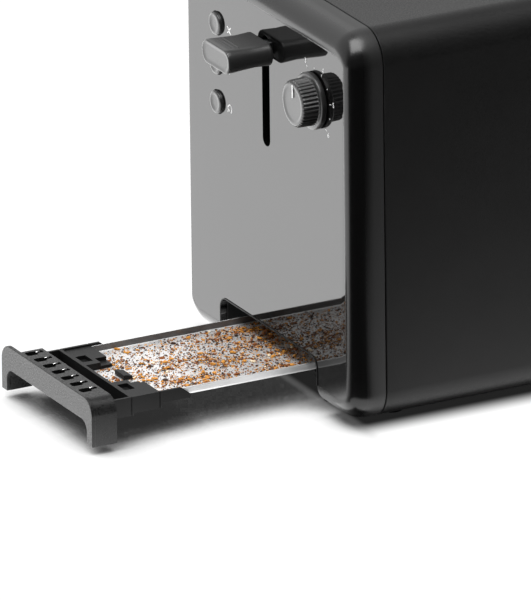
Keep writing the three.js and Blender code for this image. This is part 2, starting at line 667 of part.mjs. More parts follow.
// The block behind the face: a ledge for the fingertips, a round shoulder on the near side, and a
// low far leg.
function handleBlock() {
  const shape = new THREE.Shape();
  shape.moveTo(-HANDLE_Y, HANDLE_Z[0]);
  shape.lineTo(HANDLE_Y, HANDLE_Z[0]);
  shape.lineTo(HANDLE_Y, LOW_Z);
  shape.lineTo(LEDGE_END_Y, LOW_Z);
  shape.lineTo(LEDGE_END_Y, LEDGE_Z);
  shape.lineTo(SHOULDER_R - HANDLE_Y, LEDGE_Z);
  shape.absarc(SHOULDER_R - HANDLE_Y, LEDGE_Z - SHOULDER_R, SHOULDER_R, Math.PI / 2, Math.PI);
  shape.lineTo(-HANDLE_Y, HANDLE_Z[0]);
  const under = archShape(HANDLE_Y - LEG, [0, ARCH_Z], ARCH_R);
  const xs = [FRONT_X + FACE - JOIN, HANDLE_BACK];
  return cut(prism(shape, ALONG_X, xs), prism(under, ALONG_X, [FRONT_X, HANDLE_BACK + PAST]));
}

function trayHandle() {
  const slots = [];
  const zs = [LEDGE_Z - LEDGE_SLOTS.depth, LEDGE_Z + PAST];
  for (let i = 0; i < LEDGE_SLOTS.count; i += 1) {
    const y = LEDGE_SLOTS.middle + (i - (LEDGE_SLOTS.count - 1) / 2) * LEDGE_SLOTS.pitch;
    for (const { from, to, half } of [SLOT_FRONT, SLOT_TAIL]) {
      slots.push(box([FRONT_X + from, FRONT_X + to], [y - half, y + half], zs));
    }
  }
  return cut(union(handleFace(), handleBlock()), ...slots);
}

const PAN_Y = 36.1;
const PAN_SHEET = 0.6;
const PAN_FLOOR = 18;
const PAN_RIM = 21.5;
const PAN_X = [-92.5, 156];
const CARRIER_X = [HANDLE_BACK + GAP, -77.6];
const CARRIER_Y = [PAN_Y + GAP, 37.8];
const CARRIER_TOP = 22.4;
const CARRIER_FLOOR = 13;
const GROOVE_Z = 16.2; // floor of the groove behind the handle
const CROSS_WALL = 1.7;
const BLOCK_BACK = PAN_X[0] - GAP; // back of the carrier's cross wall
const STRIP = { low: 16.5, slope: 5, near: -62, far: -67.5 };
const CORNER_BLOCK = { inner: 13.5, top: 21.6, foot: [14, 18] };
const CORNER_POCKET = { from: 1.6, to: 7, ys: [17.6, 26], low: 19.6 };
const CORNER_STEP = { from: 9, ys: [12, 19.7], low: 19.8 };
const PARTING = { depth: 0.4, half: 0.3 }; // the fine lines down the moulding's sides

// A side strip with a sloping end; the far one is shorter.
function carrierSide(side) {
  const shape = new THREE.Shape();
  const end = side > 0 ? STRIP.far : STRIP.near;
  shape.moveTo(STRIP.low, CARRIER_X[0]);
  shape.lineTo(CARRIER_TOP, CARRIER_X[0]);
  shape.lineTo(CARRIER_TOP, end - STRIP.slope);
  shape.lineTo(STRIP.low + 2, end);
  shape.lineTo(STRIP.low, end);
  shape.lineTo(STRIP.low, CARRIER_X[0]);
  const ys = side > 0 ? CARRIER_Y : [-CARRIER_Y[1], -CARRIER_Y[0]];
  return prism(shape, ALONG_Y, ys);
}

function cornerBlock(side) {
  const ys = [CORNER_BLOCK.inner, CARRIER_Y[0] + JOIN];
  const block = sideBox(side, [BLOCK_BACK - JOIN, CARRIER_X[1]], ys, [PAN_FLOOR + GAP, CORNER_BLOCK.top]);
  const foot = sideBox(side, CARRIER_X, CARRIER_Y, CORNER_BLOCK.foot);
  const above = CORNER_BLOCK.top + PAST;
  const pocketX = [BLOCK_BACK + CORNER_POCKET.from, BLOCK_BACK + CORNER_POCKET.to];
  const pocket = sideBox(side, pocketX, CORNER_POCKET.ys, [CORNER_POCKET.low, above]);
  const stepX = [BLOCK_BACK + CORNER_STEP.from, CARRIER_X[1] + PAST];
  const step = sideBox(side, stepX, CORNER_STEP.ys, [CORNER_STEP.low, above]);
  return cut(union(block, foot), pocket, step);
}

function trayCarrier() {
  const outerY = [-CARRIER_Y[1], CARRIER_Y[1]];
  const wallX = [BLOCK_BACK - CROSS_WALL, BLOCK_BACK];
  const shelfZ = [CORNER_BLOCK.foot[0], PAN_FLOOR - PAN_SHEET - GAP];
  const pieces = [
    box([CARRIER_X[0], wallX[1] - JOIN], outerY, [CARRIER_FLOOR, GROOVE_Z]),
    box([wallX[0], CARRIER_X[1]], outerY, shelfZ),
    box(wallX, outerY, [CARRIER_FLOOR, CARRIER_TOP]),
  ];
  const partings = [];
  for (const side of SIDES) {
    pieces.push(carrierSide(side), cornerBlock(side));
    for (const x of [BLOCK_BACK - 1, CARRIER_X[1] - 1]) {
      partings.push(sideBox(side, [x - PARTING.half, x + PARTING.half],
        [CARRIER_Y[1] - PARTING.depth, CARRIER_Y[1] + PAST], [CARRIER_FLOOR - PAST, CARRIER_TOP + PAST]));
    }
  }
  return cut(union(...pieces), ...partings);
}

function crumbPan() {
  const under = PAN_FLOOR - PAN_SHEET;
  const wallZ = [under, PAN_RIM];
  const walls = SIDES.map((side) =>
    sideBox(side, [CARRIER_X[1] + GAP, PAN_X[1]], [PAN_Y - PAN_SHEET, PAN_Y], wallZ));
  const floor = box(PAN_X, [-PAN_Y, PAN_Y], [under, PAN_FLOOR]);
  const back = box([PAN_X[1] - PAN_SHEET, PAN_X[1]], [-PAN_Y, PAN_Y], wallZ);
  return union(floor, back, ...walls);
}

const TAB = { xs: [-81.4, -76.5], ys: [-5.9, 3.9], height: 2.7, crest: 1.2, toe: 1.5 };

// A small ramp that stops the tray from being drawn right out.
function catchTab() {
  const [x0, x1] = TAB.xs;
  const z0 = PAN_FLOOR + GAP;
  const top = PAN_FLOOR + TAB.height;
  const shape = new THREE.Shape();
  shape.moveTo(z0, x0);
  shape.lineTo(top, x0);
  shape.lineTo(top, x0 + TAB.crest);
  shape.lineTo(z0 + TAB.toe, x1);
  shape.lineTo(z0, x1);
  return prism(shape, ALONG_Y, TAB.ys);
}

// ---- assembly -----------------------------------------------------------------------------------
place("housing_shell", housingShell(), SATIN_BLACK);
place("front_end_frame", frontFrame(), MATT_BLACK);
place("control_panel", controlPanel(), GLOSS_BLACK);
place("tray_opening_bezel", trayBezel(), MATT_BLACK);
turnToRear(place("rear_end_frame", endFrame(), MATT_BLACK));
turnToRear(place("rear_panel", rearPanel(), MATT_BLACK));
turnToRear(place("cord_gland", cordGland(), MATT_BLACK));
place("base_plate", basePlate(), MATT_BLACK);

for (const side of SIDES) {
  const name = SIDE_NAMES[side];
  place(`slot_trim_${name}`, slotTrim(side * SLOT_Y), STEEL);
  place(`foot_front_${name}`, foot(FOOT_XS[0], side * FOOT_Y), RUBBER);
  place(`foot_rear_${name}`, foot(FOOT_XS[1], side * FOOT_Y), RUBBER);
  place(`base_screw_front_${name}`, screw(SCREW_X[0], side * SCREW_Y), STEEL);
  place(`base_screw_rear_${name}`, screw(SCREW_X[1], side * SCREW_Y), STEEL);
  place(`tray_guide_${name}`, trayGuide(side), MATT_BLACK);
  place(`heat_shield_${name}`, heatShield(side), STEEL);
  place(`heater_board_${name}_inner`, heaterBoard(side * BOARD_Y.inner), MICA);
  place(`heater_board_${name}_outer`, heaterBoard(side * BOARD_Y.outer), MICA);
  place(`bread_guide_${name}_inner`, breadGuide(side * (SLOT_Y - SLOT_WIDTH / 2)), BRIGHT_STEEL);
  place(`bread_guide_${name}_outer`, breadGuide(side * (SLOT_Y + SLOT_WIDTH / 2)), BRIGHT_STEEL);
  place(`bread_lifter_${name}`, breadLifter(side), STEEL);
  place(`guide_rod_${name}`, guideRod(side), BRIGHT_STEEL);
  place(`return_spring_${name}`, returnSpring(side), BRIGHT_STEEL);
}

place("chassis_front_plate", frontChassis(), STEEL);
place("chassis_rear_plate", rearChassis(), STEEL);
place("lift_carriage", carriage(), STEEL);
place("lever_arm", leverArm(), STEEL);
place("lever_knob", leverKnob(), SATIN_BLACK);
place("latch_armature", armature(), STEEL);
place("electromagnet", electromagnet(), COIL_COPPER);
place("control_board", controlBoard(), BOARD_GREEN);
place("browning_potentiometer", potentiometer(), MATT_BLACK);
place("browning_knob", browningKnob(), SATIN_BLACK);
for (const [name, z] of Object.entries(BUTTONS)) place(name, button(z), SATIN_BLACK);

place("tray_handle", trayHandle(), MATT_BLACK);
place("tray_carrier", trayCarrier(), MATT_BLACK);
place("tray_catch_tab", catchTab(), MATT_BLACK);
place("crumb_tray_pan", crumbPan(), BRIGHT_STEEL);

assembly.position.x = -(LENGTH - TRAY_OUT) / 2;

const toaster = new THREE.Group();
toaster.add(assembly);

export default toaster;
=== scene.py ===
"""A pop-up toaster with its crumb tray drawn out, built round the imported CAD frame. Metres, +Z up."""
import math
import random

import bmesh
import bpy
from mathutils import Matrix, Vector


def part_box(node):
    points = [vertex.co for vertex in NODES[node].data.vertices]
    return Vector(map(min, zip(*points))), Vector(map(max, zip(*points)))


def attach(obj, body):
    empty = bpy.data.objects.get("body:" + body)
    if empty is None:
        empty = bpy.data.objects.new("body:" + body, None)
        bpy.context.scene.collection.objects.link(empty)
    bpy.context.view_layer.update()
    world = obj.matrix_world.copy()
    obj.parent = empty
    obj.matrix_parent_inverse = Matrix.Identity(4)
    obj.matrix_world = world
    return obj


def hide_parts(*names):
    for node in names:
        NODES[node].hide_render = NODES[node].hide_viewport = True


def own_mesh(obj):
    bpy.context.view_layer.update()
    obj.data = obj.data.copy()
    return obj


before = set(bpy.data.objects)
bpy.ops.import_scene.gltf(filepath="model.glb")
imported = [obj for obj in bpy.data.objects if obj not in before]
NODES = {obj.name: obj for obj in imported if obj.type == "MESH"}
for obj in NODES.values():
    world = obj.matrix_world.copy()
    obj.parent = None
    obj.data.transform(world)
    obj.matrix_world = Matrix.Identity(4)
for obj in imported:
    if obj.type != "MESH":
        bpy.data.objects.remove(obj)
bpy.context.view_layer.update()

MM = 0.001
SIDES = {"near": -1, "far": 1}
scene = bpy.context.scene


# ---- camera ----
LENS, SENSOR = 1200, 36  # mm: a long lens, far away
NEAREST, FARTHEST = 1, 100  # metres
DISTANCE = 9.5818
AIM = Vector((-93.85, -4.4, 44.64)) * MM
AZIMUTH, ELEVATION, ROLL = (math.radians(a) for a in (27.504, 20.3025, -0.684))


def add_camera():
    level = math.cos(ELEVATION)
    ahead = Vector((math.sin(AZIMUTH) * level, math.cos(AZIMUTH) * level, -math.sin(ELEVATION)))
    right = Vector((math.cos(AZIMUTH), -math.sin(AZIMUTH), 0))
    up = right.cross(ahead)
    turn = Matrix.Rotation(-ROLL, 3, ahead)
    right, up = turn @ right, turn @ up
    axes = Matrix((right, up, -ahead)).transposed().to_4x4()
    data = bpy.data.cameras.new("camera")
    data.lens = LENS
    data.sensor_width = SENSOR
    data.clip_start, data.clip_end = NEAREST, FARTHEST
    camera = bpy.data.objects.new("camera", data)
    camera.matrix_world = Matrix.Translation(AIM - ahead * DISTANCE) @ axes
    scene.collection.objects.link(camera)
    scene.camera = camera


add_camera()


# ---- sizes from the frame ----
def span(node):
    """A CAD node's (low, high) along X, Y and Z."""
    low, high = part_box(node)
    return [(low[i], high[i]) for i in range(3)]


def centre_yz(node):
    return tuple((low + high) / 2 for low, high in span(node)[1:])


SHELL_X, BODY_Y, BODY_Z = span("housing_shell")
FRONT_X = span("front_end_frame")[0][0]
REAR_X = span("rear_end_frame")[0][1]
FRAME_DEPTH = span("front_end_frame")[0][1] - FRONT_X
CORNER_R = 16 * MM
WALL = 2 * MM
GAP = 0.3 * MM  # between pieces that fit into each other
EDGE_X, EDGE_Y, EDGE_Z = 13 * MM, 6.2 * MM, 10.75 * MM  # how far an end frame's rounding reaches
PANEL_DEPTH = span("control_panel")[0][1] - FRONT_X
RIM = 0.25 * MM  # the end frame's flat rim round the panel
PANEL_Y, PANEL_Z = EDGE_Y + RIM, EDGE_Z + RIM  # how far the panels' outline lies inside the body's
OPENING_Y, OPENING_Z, OPENING_R = 49.5 * MM, 28.5 * MM, 5.5 * MM
BEZEL_WALL = 2.4 * MM


# ---- node helpers ----
def add_node(tree, kind, inputs=None, **settings):
    """Adds a node, whose inputs are plain values or other nodes' outputs."""
    node = tree.nodes.new(kind)
    for key, value in settings.items():
        setattr(node, key, value)
    for key, value in (inputs or {}).items():
        if isinstance(value, bpy.types.NodeSocket):
            tree.links.new(value, node.inputs[key])
        else:
            node.inputs[key].default_value = value
    return node


def maths(tree, operation, *values):
    return add_node(tree, "ShaderNodeMath", dict(enumerate(values)), operation=operation).outputs[0]


def vector_maths(tree, operation, *values, output="Vector"):
    node = add_node(tree, "ShaderNodeVectorMath", dict(enumerate(values)), operation=operation)
    return node.outputs[output]


def map_range(tree, value, start, end, low=0.0, high=1.0, eased=False):
    """Turns start to end of a value into low to high, evenly or with eased ends."""
    inputs = {"Value": value, "From Min": start, "From Max": end, "To Min": low, "To Max": high}
    course = "SMOOTHSTEP" if eased else "LINEAR"
    return add_node(tree, "ShaderNodeMapRange", inputs, interpolation_type=course).outputs["Result"]


def axis_of(tree, place, axis):
    return add_node(tree, "ShaderNodeSeparateXYZ", {"Vector": place}).outputs[axis]


class Look:
    """A Principled material whose colour, roughness and relief come from noise in object space."""

    def __init__(self, name, specular=0.5, metallic=0.0):
        self.material = bpy.data.materials.new(name)
        self.material.use_nodes = True
        self.tree = self.material.node_tree
        self.shader = self.tree.nodes["Principled BSDF"]
        self.shader.inputs["Specular IOR Level"].default_value = specular
        self.shader.inputs["Metallic"].default_value = metallic
        self.place = self.tree.nodes.new("ShaderNodeTexCoord").outputs["Object"]

    def noise(self, size, detail=3, roughness=0.5, stretch=(1, 1, 1)):
        """Noise in blotches about size metres across, drawn out along axes where stretch is over 1."""
        scale = {"Vector": self.place, "Scale": [1 / s for s in stretch]}
        scaled = add_node(self.tree, "ShaderNodeMapping", scale).outputs["Vector"]
        inputs = {"Vector": scaled, "Scale": 1 / size, "Detail": detail, "Roughness": roughness}
        return add_node(self.tree, "ShaderNodeTexNoise", inputs).outputs["Fac"]

    def cells(self, size, output, feature="F1"):
        inputs = {"Vector": self.place, "Scale": 1 / size}
        return add_node(self.tree, "ShaderNodeTexVoronoi", inputs, feature=feature).outputs[output]

    def ramp(self, factor, *stops):
        """A colour ramp: its two stops are (place, colour), and a colour is one grey or three numbers."""
        node = add_node(self.tree, "ShaderNodeValToRGB", {"Fac": factor})
        for element, (position, colour) in zip(node.color_ramp.elements, stops):
            element.position = position
            rgb = (colour,) * 3 if isinstance(colour, (int, float)) else colour
            element.color = (*rgb, 1)
        return node.outputs["Color"]

    def spread(self, factor, low, high, start=0.35, end=0.65):
        return map_range(self.tree, factor, start, end, low, high)

    def mix(self, factor, first, second, blend="MIX"):
        inputs = {"Factor": factor, "A": first, "B": second}
        node = add_node(self.tree, "ShaderNodeMix", inputs, data_type="RGBA", blend_type=blend)
        return node.outputs["Result"]

    def finish(self, colour, roughness, height=None, depth=0.0):
        """Links the colour, roughness and relief, whose height is in depth metres, and gives the material."""
        sources = {"Base Color": colour, "Roughness": roughness}
        if height:
            bump = add_node(self.tree, "ShaderNodeBump", {"Strength": 1, "Distance": depth, "Height": height})
            sources["Normal"] = bump.outputs["Normal"]
        for name, source in sources.items():
            self.tree.links.new(source, self.shader.inputs[name])
        return self.material


# ---- materials ----
def moulded(name, dark, light, roughness, grain=0.45 * MM, depth=0.02 * MM, specular=0.5, play=0.06):
    """Moulded black plastic with a spark-eroded grain."""
    look = Look(name, specular)
    fine = look.noise(grain, detail=4, roughness=0.6)
    broad = look.noise(22 * MM, detail=2)
    colour = look.mix(0.35, look.ramp(fine, (0.3, dark), (0.7, light)),
                      look.ramp(broad, (0.3, dark), (0.7, light)))
    return look.finish(colour, look.spread(fine, roughness - play, roughness + play), fine, depth)


def frame_plastic():
    """The end frames: satin over the rounding of the face, and grained like the shell beside the seam."""
    satin_roughness, grained_roughness, speckle = 0.2, 0.46, 0.08
    look = Look("frame_plastic", specular=0.36)
    from_middle = maths(look.tree, "SUBTRACT", axis_of(look.tree, look.place, "X"), (FRONT_X + REAR_X) / 2)
    half = (REAR_X - FRONT_X) / 2
    reach = maths(look.tree, "ABSOLUTE", from_middle)
    satin = look.spread(reach, 0.0, 1.0, half - EDGE_X, half - EDGE_X * 0.6)
    fine = look.noise(0.45 * MM, detail=4, roughness=0.6)
    grained = look.ramp(fine, (0.3, 0.005), (0.7, 0.013))
    colour = look.mix(satin, grained, look.ramp(fine, (0.3, 0.0015), (0.7, 0.003)))
    rough = maths(look.tree, "MULTIPLY_ADD", satin, satin_roughness - grained_roughness, grained_roughness)
    return look.finish(colour, maths(look.tree, "MULTIPLY_ADD", fine, speckle, rough), fine, 0.008 * MM)


def gloss_panel():
    """Hard gloss black with a slight orange peel and a few faint wipe marks."""
    look = Look("gloss_panel", specular=0.36)
    wipe = look.noise(40 * MM, detail=5, stretch=(1, 3, 1))
    colour = look.ramp(wipe, (0.3, 0.003), (0.7, 0.005))
    return look.finish(colour, look.spread(wipe, 0.015, 0.035), look.noise(3 * MM, detail=2), 0.0006 * MM)


def brushed(name, dark, light, roughness, along, metallic=1.0):
    """Rolled or brushed sheet metal, with its grain along one axis."""
    look = Look(name, metallic=metallic)
    stretch = [60 if axis == along else 1 for axis in "xyz"]
    lines = look.noise(0.25 * MM, detail=4, roughness=0.65, stretch=stretch)
    stains = look.noise(14 * MM, detail=4)
    tone = look.mix(0.5, look.ramp(lines, (0.3, dark), (0.7, light)),
                    look.ramp(stains, (0.35, dark), (0.65, light)))
    return look.finish(tone, look.spread(stains, roughness - 0.05, roughness + 0.08), lines, 0.004 * MM)


def galvanised():
    look = Look("galvanised_sheet", metallic=1.0)
    spangle = look.cells(7 * MM, "Distance")
    colour = look.ramp(spangle, (0.0, (0.5, 0.51, 0.52)), (0.8, (0.62, 0.63, 0.64)))
    rough = look.spread(look.noise(5 * MM), 0.34, 0.5)
    return look.finish(colour, rough, look.noise(1.2 * MM), 0.01 * MM)


def rubber():
    look = Look("foot_rubber", specular=0.3)
    fine = look.noise(0.6 * MM, detail=4)
    colour = look.ramp(fine, (0.3, 0.010), (0.7, 0.018))
    return look.finish(colour, look.spread(fine, 0.7, 0.9), fine, 0.03 * MM)


def mica_sheet():
    look = Look("mica_sheet", specular=0.6)
    flakes = look.cells(2.2 * MM, "Color")
    cloud = look.noise(16 * MM, detail=5)
    base = look.ramp(cloud, (0.3, (0.30, 0.235, 0.15)), (0.7, (0.42, 0.35, 0.24)))
    colour = look.mix(0.18, base, flakes, "OVERLAY")
    rough = look.spread(look.noise(2 * MM), 0.35, 0.6)
    return look.finish(colour, rough, look.noise(1.0 * MM, detail=5), 0.02 * MM)


def circuit_board():
    look = Look("circuit_board")
    tracks = look.cells(4 * MM, "Distance", feature="DISTANCE_TO_EDGE")
    colour = look.ramp(tracks, (0.02, (0.02, 0.13, 0.06)), (0.08, (0.01, 0.07, 0.035)))
    rough = look.spread(look.noise(3 * MM), 0.25, 0.4)
    return look.finish(colour, rough, look.noise(0.5 * MM), 0.01 * MM)


def wound_copper():
    look = Look("wound_copper", metallic=0.85)
    wires = look.noise(0.5 * MM, detail=1, stretch=(40, 40, 1))
    colour = look.ramp(wires, (0.35, (0.22, 0.07, 0.03)), (0.65, (0.55, 0.24, 0.11)))
    return look.finish(colour, look.spread(wires, 0.25, 0.45), wires, 0.08 * MM)


def marking():
    look = Look("marking_print", specular=0.4)
    worn = look.noise(0.8 * MM)
    return look.finish(look.ramp(worn, (0.3, 0.5), (0.6, 0.62)), look.spread(worn, 0.45, 0.6))


def toasted(name, dark, light):
    look = Look(name, specular=0.3)
    fine = look.noise(0.5 * MM, detail=4, roughness=0.7)
    colour = look.ramp(fine, (0.35, dark), (0.65, light))
    return look.finish(colour, look.spread(fine, 0.65, 0.9), fine, 0.08 * MM)


LOOKS = {
    "body_shell": moulded("shell_plastic", 0.003, 0.007, 0.46, 0.8 * MM, 0.05 * MM, specular=0.22, play=0.1),
    "black_plastic": moulded("black_plastic", 0.004, 0.009, 0.5, specular=0.18),
    "handle_plastic": moulded("handle_plastic", 0.002, 0.010, 0.42, 0.7 * MM, 0.07 * MM, 0.3, play=0.2),
    "panel_gloss": gloss_panel(),
    "control_plastic": moulded("control_plastic", 0.010, 0.018, 0.33, 0.3 * MM, 0.01 * MM),
    "rubber": rubber(),
    "trim_steel": brushed("trim_steel", 0.55, 0.68, 0.26, "x"),
    "sheet_steel": galvanised(),
    "wire_steel": brushed("wire_steel", 0.62, 0.75, 0.22, "z"),
    "mica": mica_sheet(),
    "copper": wound_copper(),
    "board": circuit_board(),
    "tray_steel": brushed("tray_steel", 0.58, 0.74, 0.36, "x", metallic=0.45),
    # a darker copy of the tray steel: painted shade for the inner faces of the pan's side walls
    "tray_wall_painted_shade": brushed("tray_wall_painted_shade", 0.10, 0.17, 0.34, "x", metallic=0.45),
    "end_frame": frame_plastic(),
    "nichrome": brushed("nichrome", 0.16, 0.28, 0.4, "z"),
    "marking": marking(),
    "crumb_golden": toasted("crumb_golden", (0.38, 0.13, 0.015), (0.74, 0.36, 0.07)),
    "crumb_brown": toasted("crumb_brown", (0.12, 0.03, 0.006), (0.30, 0.10, 0.02)),
    "crumb_burnt": toasted("crumb_burnt", (0.012, 0.007, 0.005), (0.07, 0.03, 0.015)),
    "crumb_pale": toasted("crumb_pale", (0.75, 0.55, 0.32), (0.9, 0.8, 0.62)),
}


# ---- mesh helpers ----
ACROSS = {"x": (1, 2, 0), "y": (2, 0, 1), "z": (0, 1, 2)}
SHARP = math.radians(28)  # edges sharper than this are rounded
FLAT = math.radians(0.5)  # faces closer than this to one plane are joined
WELD_REACH = 0.002 * MM


def on_axis(axis, u, v, w):
    """The point that lies u and v across an axis and w along it."""
    point = [0, 0, 0]
    for index, value in zip(ACROSS[axis], (u, v, w)):
        point[index] = value
    return Vector(point)


def arc(u, v, radius, start, end, steps=8, radius_v=None):
    """Points round part of a circle or ellipse, from start to end in quarter turns."""
    angles = [(start + (end - start) * i / steps) * math.pi / 2 for i in range(steps + 1)]
    tall = radius if radius_v is None else radius_v
    return [(u + radius * math.cos(a), v + tall * math.sin(a)) for a in angles]


def rounded(u0, u1, v0, v1, radius, steps=8):
    """A rounded rectangle."""
    corners = ((u1 - radius, v1 - radius), (u0 + radius, v1 - radius),
               (u0 + radius, v0 + radius), (u1 - radius, v0 + radius))
    return [p for q, (u, v) in enumerate(corners) for p in arc(u, v, radius, q, q + 1, steps)]


def arch(half, v0, v1, radius, steps=8):
    """Straight sides, rounded top corners and a flat bottom."""
    return [(half, v0), *arc(half - radius, v1 - radius, radius, 0, 1, steps),
            *arc(radius - half, v1 - radius, radius, 1, 2, steps), (-half, v0)]


def stations(along, radius, *rows):
    """A profile's points, set off from (along, radius) by millimetres: along, outward and flute depth."""
    return [(along + a * MM, radius + r * MM, *(d * MM for d in depth)) for a, r, *depth in rows]


def skin(rings, closed=False, bm=None):
    """Faces through rings of points: capped at both ends, or joined end to end if closed."""
    bm = bm or bmesh.new()
    loops = [[bm.verts.new(p) for p in ring] for ring in rings]
    for low, high in zip(loops, loops[1:] + loops[:1] * closed):
        for i in range(len(low)):
            bm.faces.new((low[i - 1], low[i], high[i], high[i - 1]))
    if not closed:
        bm.faces.new(loops[0][::-1])
        bm.faces.new(loops[-1])
    return bm


def prism(outline, axis, low, high, bm=None):
    return skin([[on_axis(axis, u, v, w) for u, v in outline] for w in (low, high)], bm=bm)


def block(low, high, bm=None):
    (x0, y0, z0), (x1, y1, z1) = low, high
    return prism([(x0, y0), (x1, y0), (x1, y1), (x0, y1)], "z", z0, z1, bm=bm)


def turned(profile, axis, centre, steps=48, flutes=0, closed=False):
    """A lathe turning: profile is (along, radius, flute depth), solid unless it is closed round a bore."""
    rings = []
    for along, radius, *depth in profile:
        ring = []
        for i in range(steps):
            angle = i / steps * 2 * math.pi
            r = radius - (depth[0] * (0.5 + 0.5 * math.cos(flutes * angle)) if depth else 0)
            u, v = centre[0] + r * math.cos(angle), centre[1] + r * math.sin(angle)
            ring.append(on_axis(axis, u, v, along))
        rings.append(ring)
    return skin(rings, closed)


def tube(points, radius, bm=None):
    """A round wire along a list of points, with domed ends."""
    sides, dome = 10, ((0.5, 0.4), (0.3, 0.8))  # the dome: how far out and how wide, in radii
    points = [Vector(p) for p in points]
    first = (points[1] - points[0]).normalized()
    last = (points[-1] - points[-2]).normalized()
    side = first.orthogonal().normalized()
    spokes = [(math.cos(a), math.sin(a)) for a in (j / sides * 2 * math.pi for j in range(sides))]
    rings = []
    for i, point in enumerate(points):
        ahead = points[min(i + 1, len(points) - 1)] - points[max(i - 1, 0)]
        ahead.normalize()
        side = (side - ahead * side.dot(ahead)).normalized()
        other = ahead.cross(side)
        stops = [(point, radius)]
        if i == 0:
            stops = [(point - first * radius * out, radius * wide) for out, wide in dome] + stops
        if i == len(points) - 1:
            stops += [(point + last * radius * out, radius * wide) for out, wide in reversed(dome)]
        rings += [[centre + side * (c * r) + other * (s * r) for c, s in spokes] for centre, r in stops]
    return skin(rings, bm=bm)


def link_mesh(name, bm):
    """Makes a bmesh into an object in the scene."""
    bmesh.ops.recalc_face_normals(bm, faces=bm.faces)
    mesh = bpy.data.meshes.new(name)
    bm.to_mesh(mesh)
    bm.free()
    return link_object(name, mesh)


def link_object(name, data):
    obj = bpy.data.objects.new(name, data)
    scene.collection.objects.link(obj)
    return obj


def carve(obj, *tools):
    """Cuts closed bmesh tools out of an object's mesh."""
    cutters = [link_mesh("cutter", tool) for tool in tools]
    for cutter in cutters:
        modifier = obj.modifiers.new("carve", "BOOLEAN")
        modifier.operation = "DIFFERENCE"
        modifier.solver = "EXACT"
        modifier.object = cutter
    bpy.context.view_layer.update()
    old, obj.data = obj.data, evaluated_mesh(obj)
    obj.modifiers.clear()
    obj.data.name = old.name
    for mesh in [old] + [cutter.data for cutter in cutters]:
        bpy.data.meshes.remove(mesh)


def evaluated_mesh(obj):
    return bpy.data.meshes.new_from_object(obj.evaluated_get(bpy.context.evaluated_depsgraph_get()))


def round_edges(obj, width, segments=3):
    """Rounds the sharp edges, if width isn't nought, and keeps flat faces flat in the shading."""
    if width:
        bevel = obj.modifiers.new("edges", "BEVEL")
        bevel.width = width
        bevel.segments = segments
        bevel.limit_method = "ANGLE"
        bevel.angle_limit = SHARP
        bevel.miter_outer = "MITER_ARC"
    for polygon in obj.data.polygons:
        polygon.use_smooth = True
    normals = obj.modifiers.new("normals", "WEIGHTED_NORMAL")
    normals.keep_sharp = False


def ease(obj, chosen, width):
    """Rounds only the sharp edges for which chosen(first end, second end) is true."""
    bm = bmesh.new()
    bm.from_mesh(obj.data)
    bmesh.ops.dissolve_limit(bm, angle_limit=FLAT, verts=bm.verts, edges=bm.edges)
    edges = [e for e in bm.edges if len(e.link_faces) == 2 and e.calc_face_angle(0) > SHARP
             and chosen(*(v.co for v in e.verts))]
    bmesh.ops.bevel(bm, geom=edges, offset=width, segments=3, profile=0.5, affect="EDGES",
                    clamp_overlap=True)
    bm.to_mesh(obj.data)
    bm.free()


def piece(obj, look, body, *nodes, slot=None, edge=0.0, segments=3):
    """Finishes a piece: its material, rounded edges, the body it rides and the nodes it stands for."""
    obj.data.materials.clear()
    obj.data.materials.append(LOOKS[look])
    round_edges(obj, edge, segments)
    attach(obj, body)
    slot or look
    if nodes:
        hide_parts(*nodes)


# ---- body ----
SEAM_EASE = 0.35 * MM  # the rounding of the shell's ends, which makes the seam show
UNDERSIDE_DEPTH = 4 * MM  # how far up the base plate's opening is cut
TRIM_FLANGE = 5 * MM
SLOT_GROW, SLOT_R = 1.8 * MM, 5 * MM  # the holes in the shell against the trims' throats
SEAT, SEAT_BACK = 3 * MM, 5.5 * MM  # the ledge behind a panel: its width, and how far back it ends
FRAME_WALL_Y, FRAME_WALL_Z = 3.2 * MM, 4.2 * MM
LEVER_SLOT_Z, LEVER_SLOT_Y = (121 * MM, 177 * MM), 3.8 * MM
BUTTON_HOLE, DIAL_HOLE, GLAND_HOLE = 6.1 * MM, 3.4 * MM, 7.3 * MM
VENTS, VENT_PITCH, VENT_Z, VENT_TALL, VENT_Y = 6, 10 * MM, 110 * MM, 4 * MM, 30 * MM
OPENING_LIP, LIP_PROUD = 0.55 * MM, 0.45 * MM  # a thin lip round the tray opening: width and height
BUTTONS = ("stop_button", "defrost_button", "reheat_button")
DIAL_CENTRE = centre_yz("browning_knob")


def body_ring(x, in_y, in_z):
    """The body's outline at x, taken in at the sides and at the top and bottom."""
    mid_y = BODY_Y[1] - CORNER_R
    low, high = BODY_Z[0] + CORNER_R, BODY_Z[1] - CORNER_R
    corners = ((mid_y, high), (-mid_y, high), (-mid_y, low), (mid_y, low))
    return [on_axis("x", u, v, x) for q, centre in enumerate(corners)
            for u, v in arc(*centre, CORNER_R - in_y, q, q + 1, 14, CORNER_R - in_z)]


def swept_body(profile):
    """A ring-shaped body: the profile's (x, in_y, in_z) stations, carried round the outline."""
    return skin([body_ring(*station) for station in profile], closed=True)


def slot_box(side):
    """A bread slot's spans along X and Y: its trim's box, less the flange."""
    return [(low + TRIM_FLANGE, high - TRIM_FLANGE) for low, high in span(f"slot_trim_{side}")[:2]]


def slot_outline(side, grow, radius):
    (x0, x1), (y0, y1) = slot_box(side)
    return rounded(x0 - grow, x1 + grow, y0 - grow, y1 + grow, radius, 10)


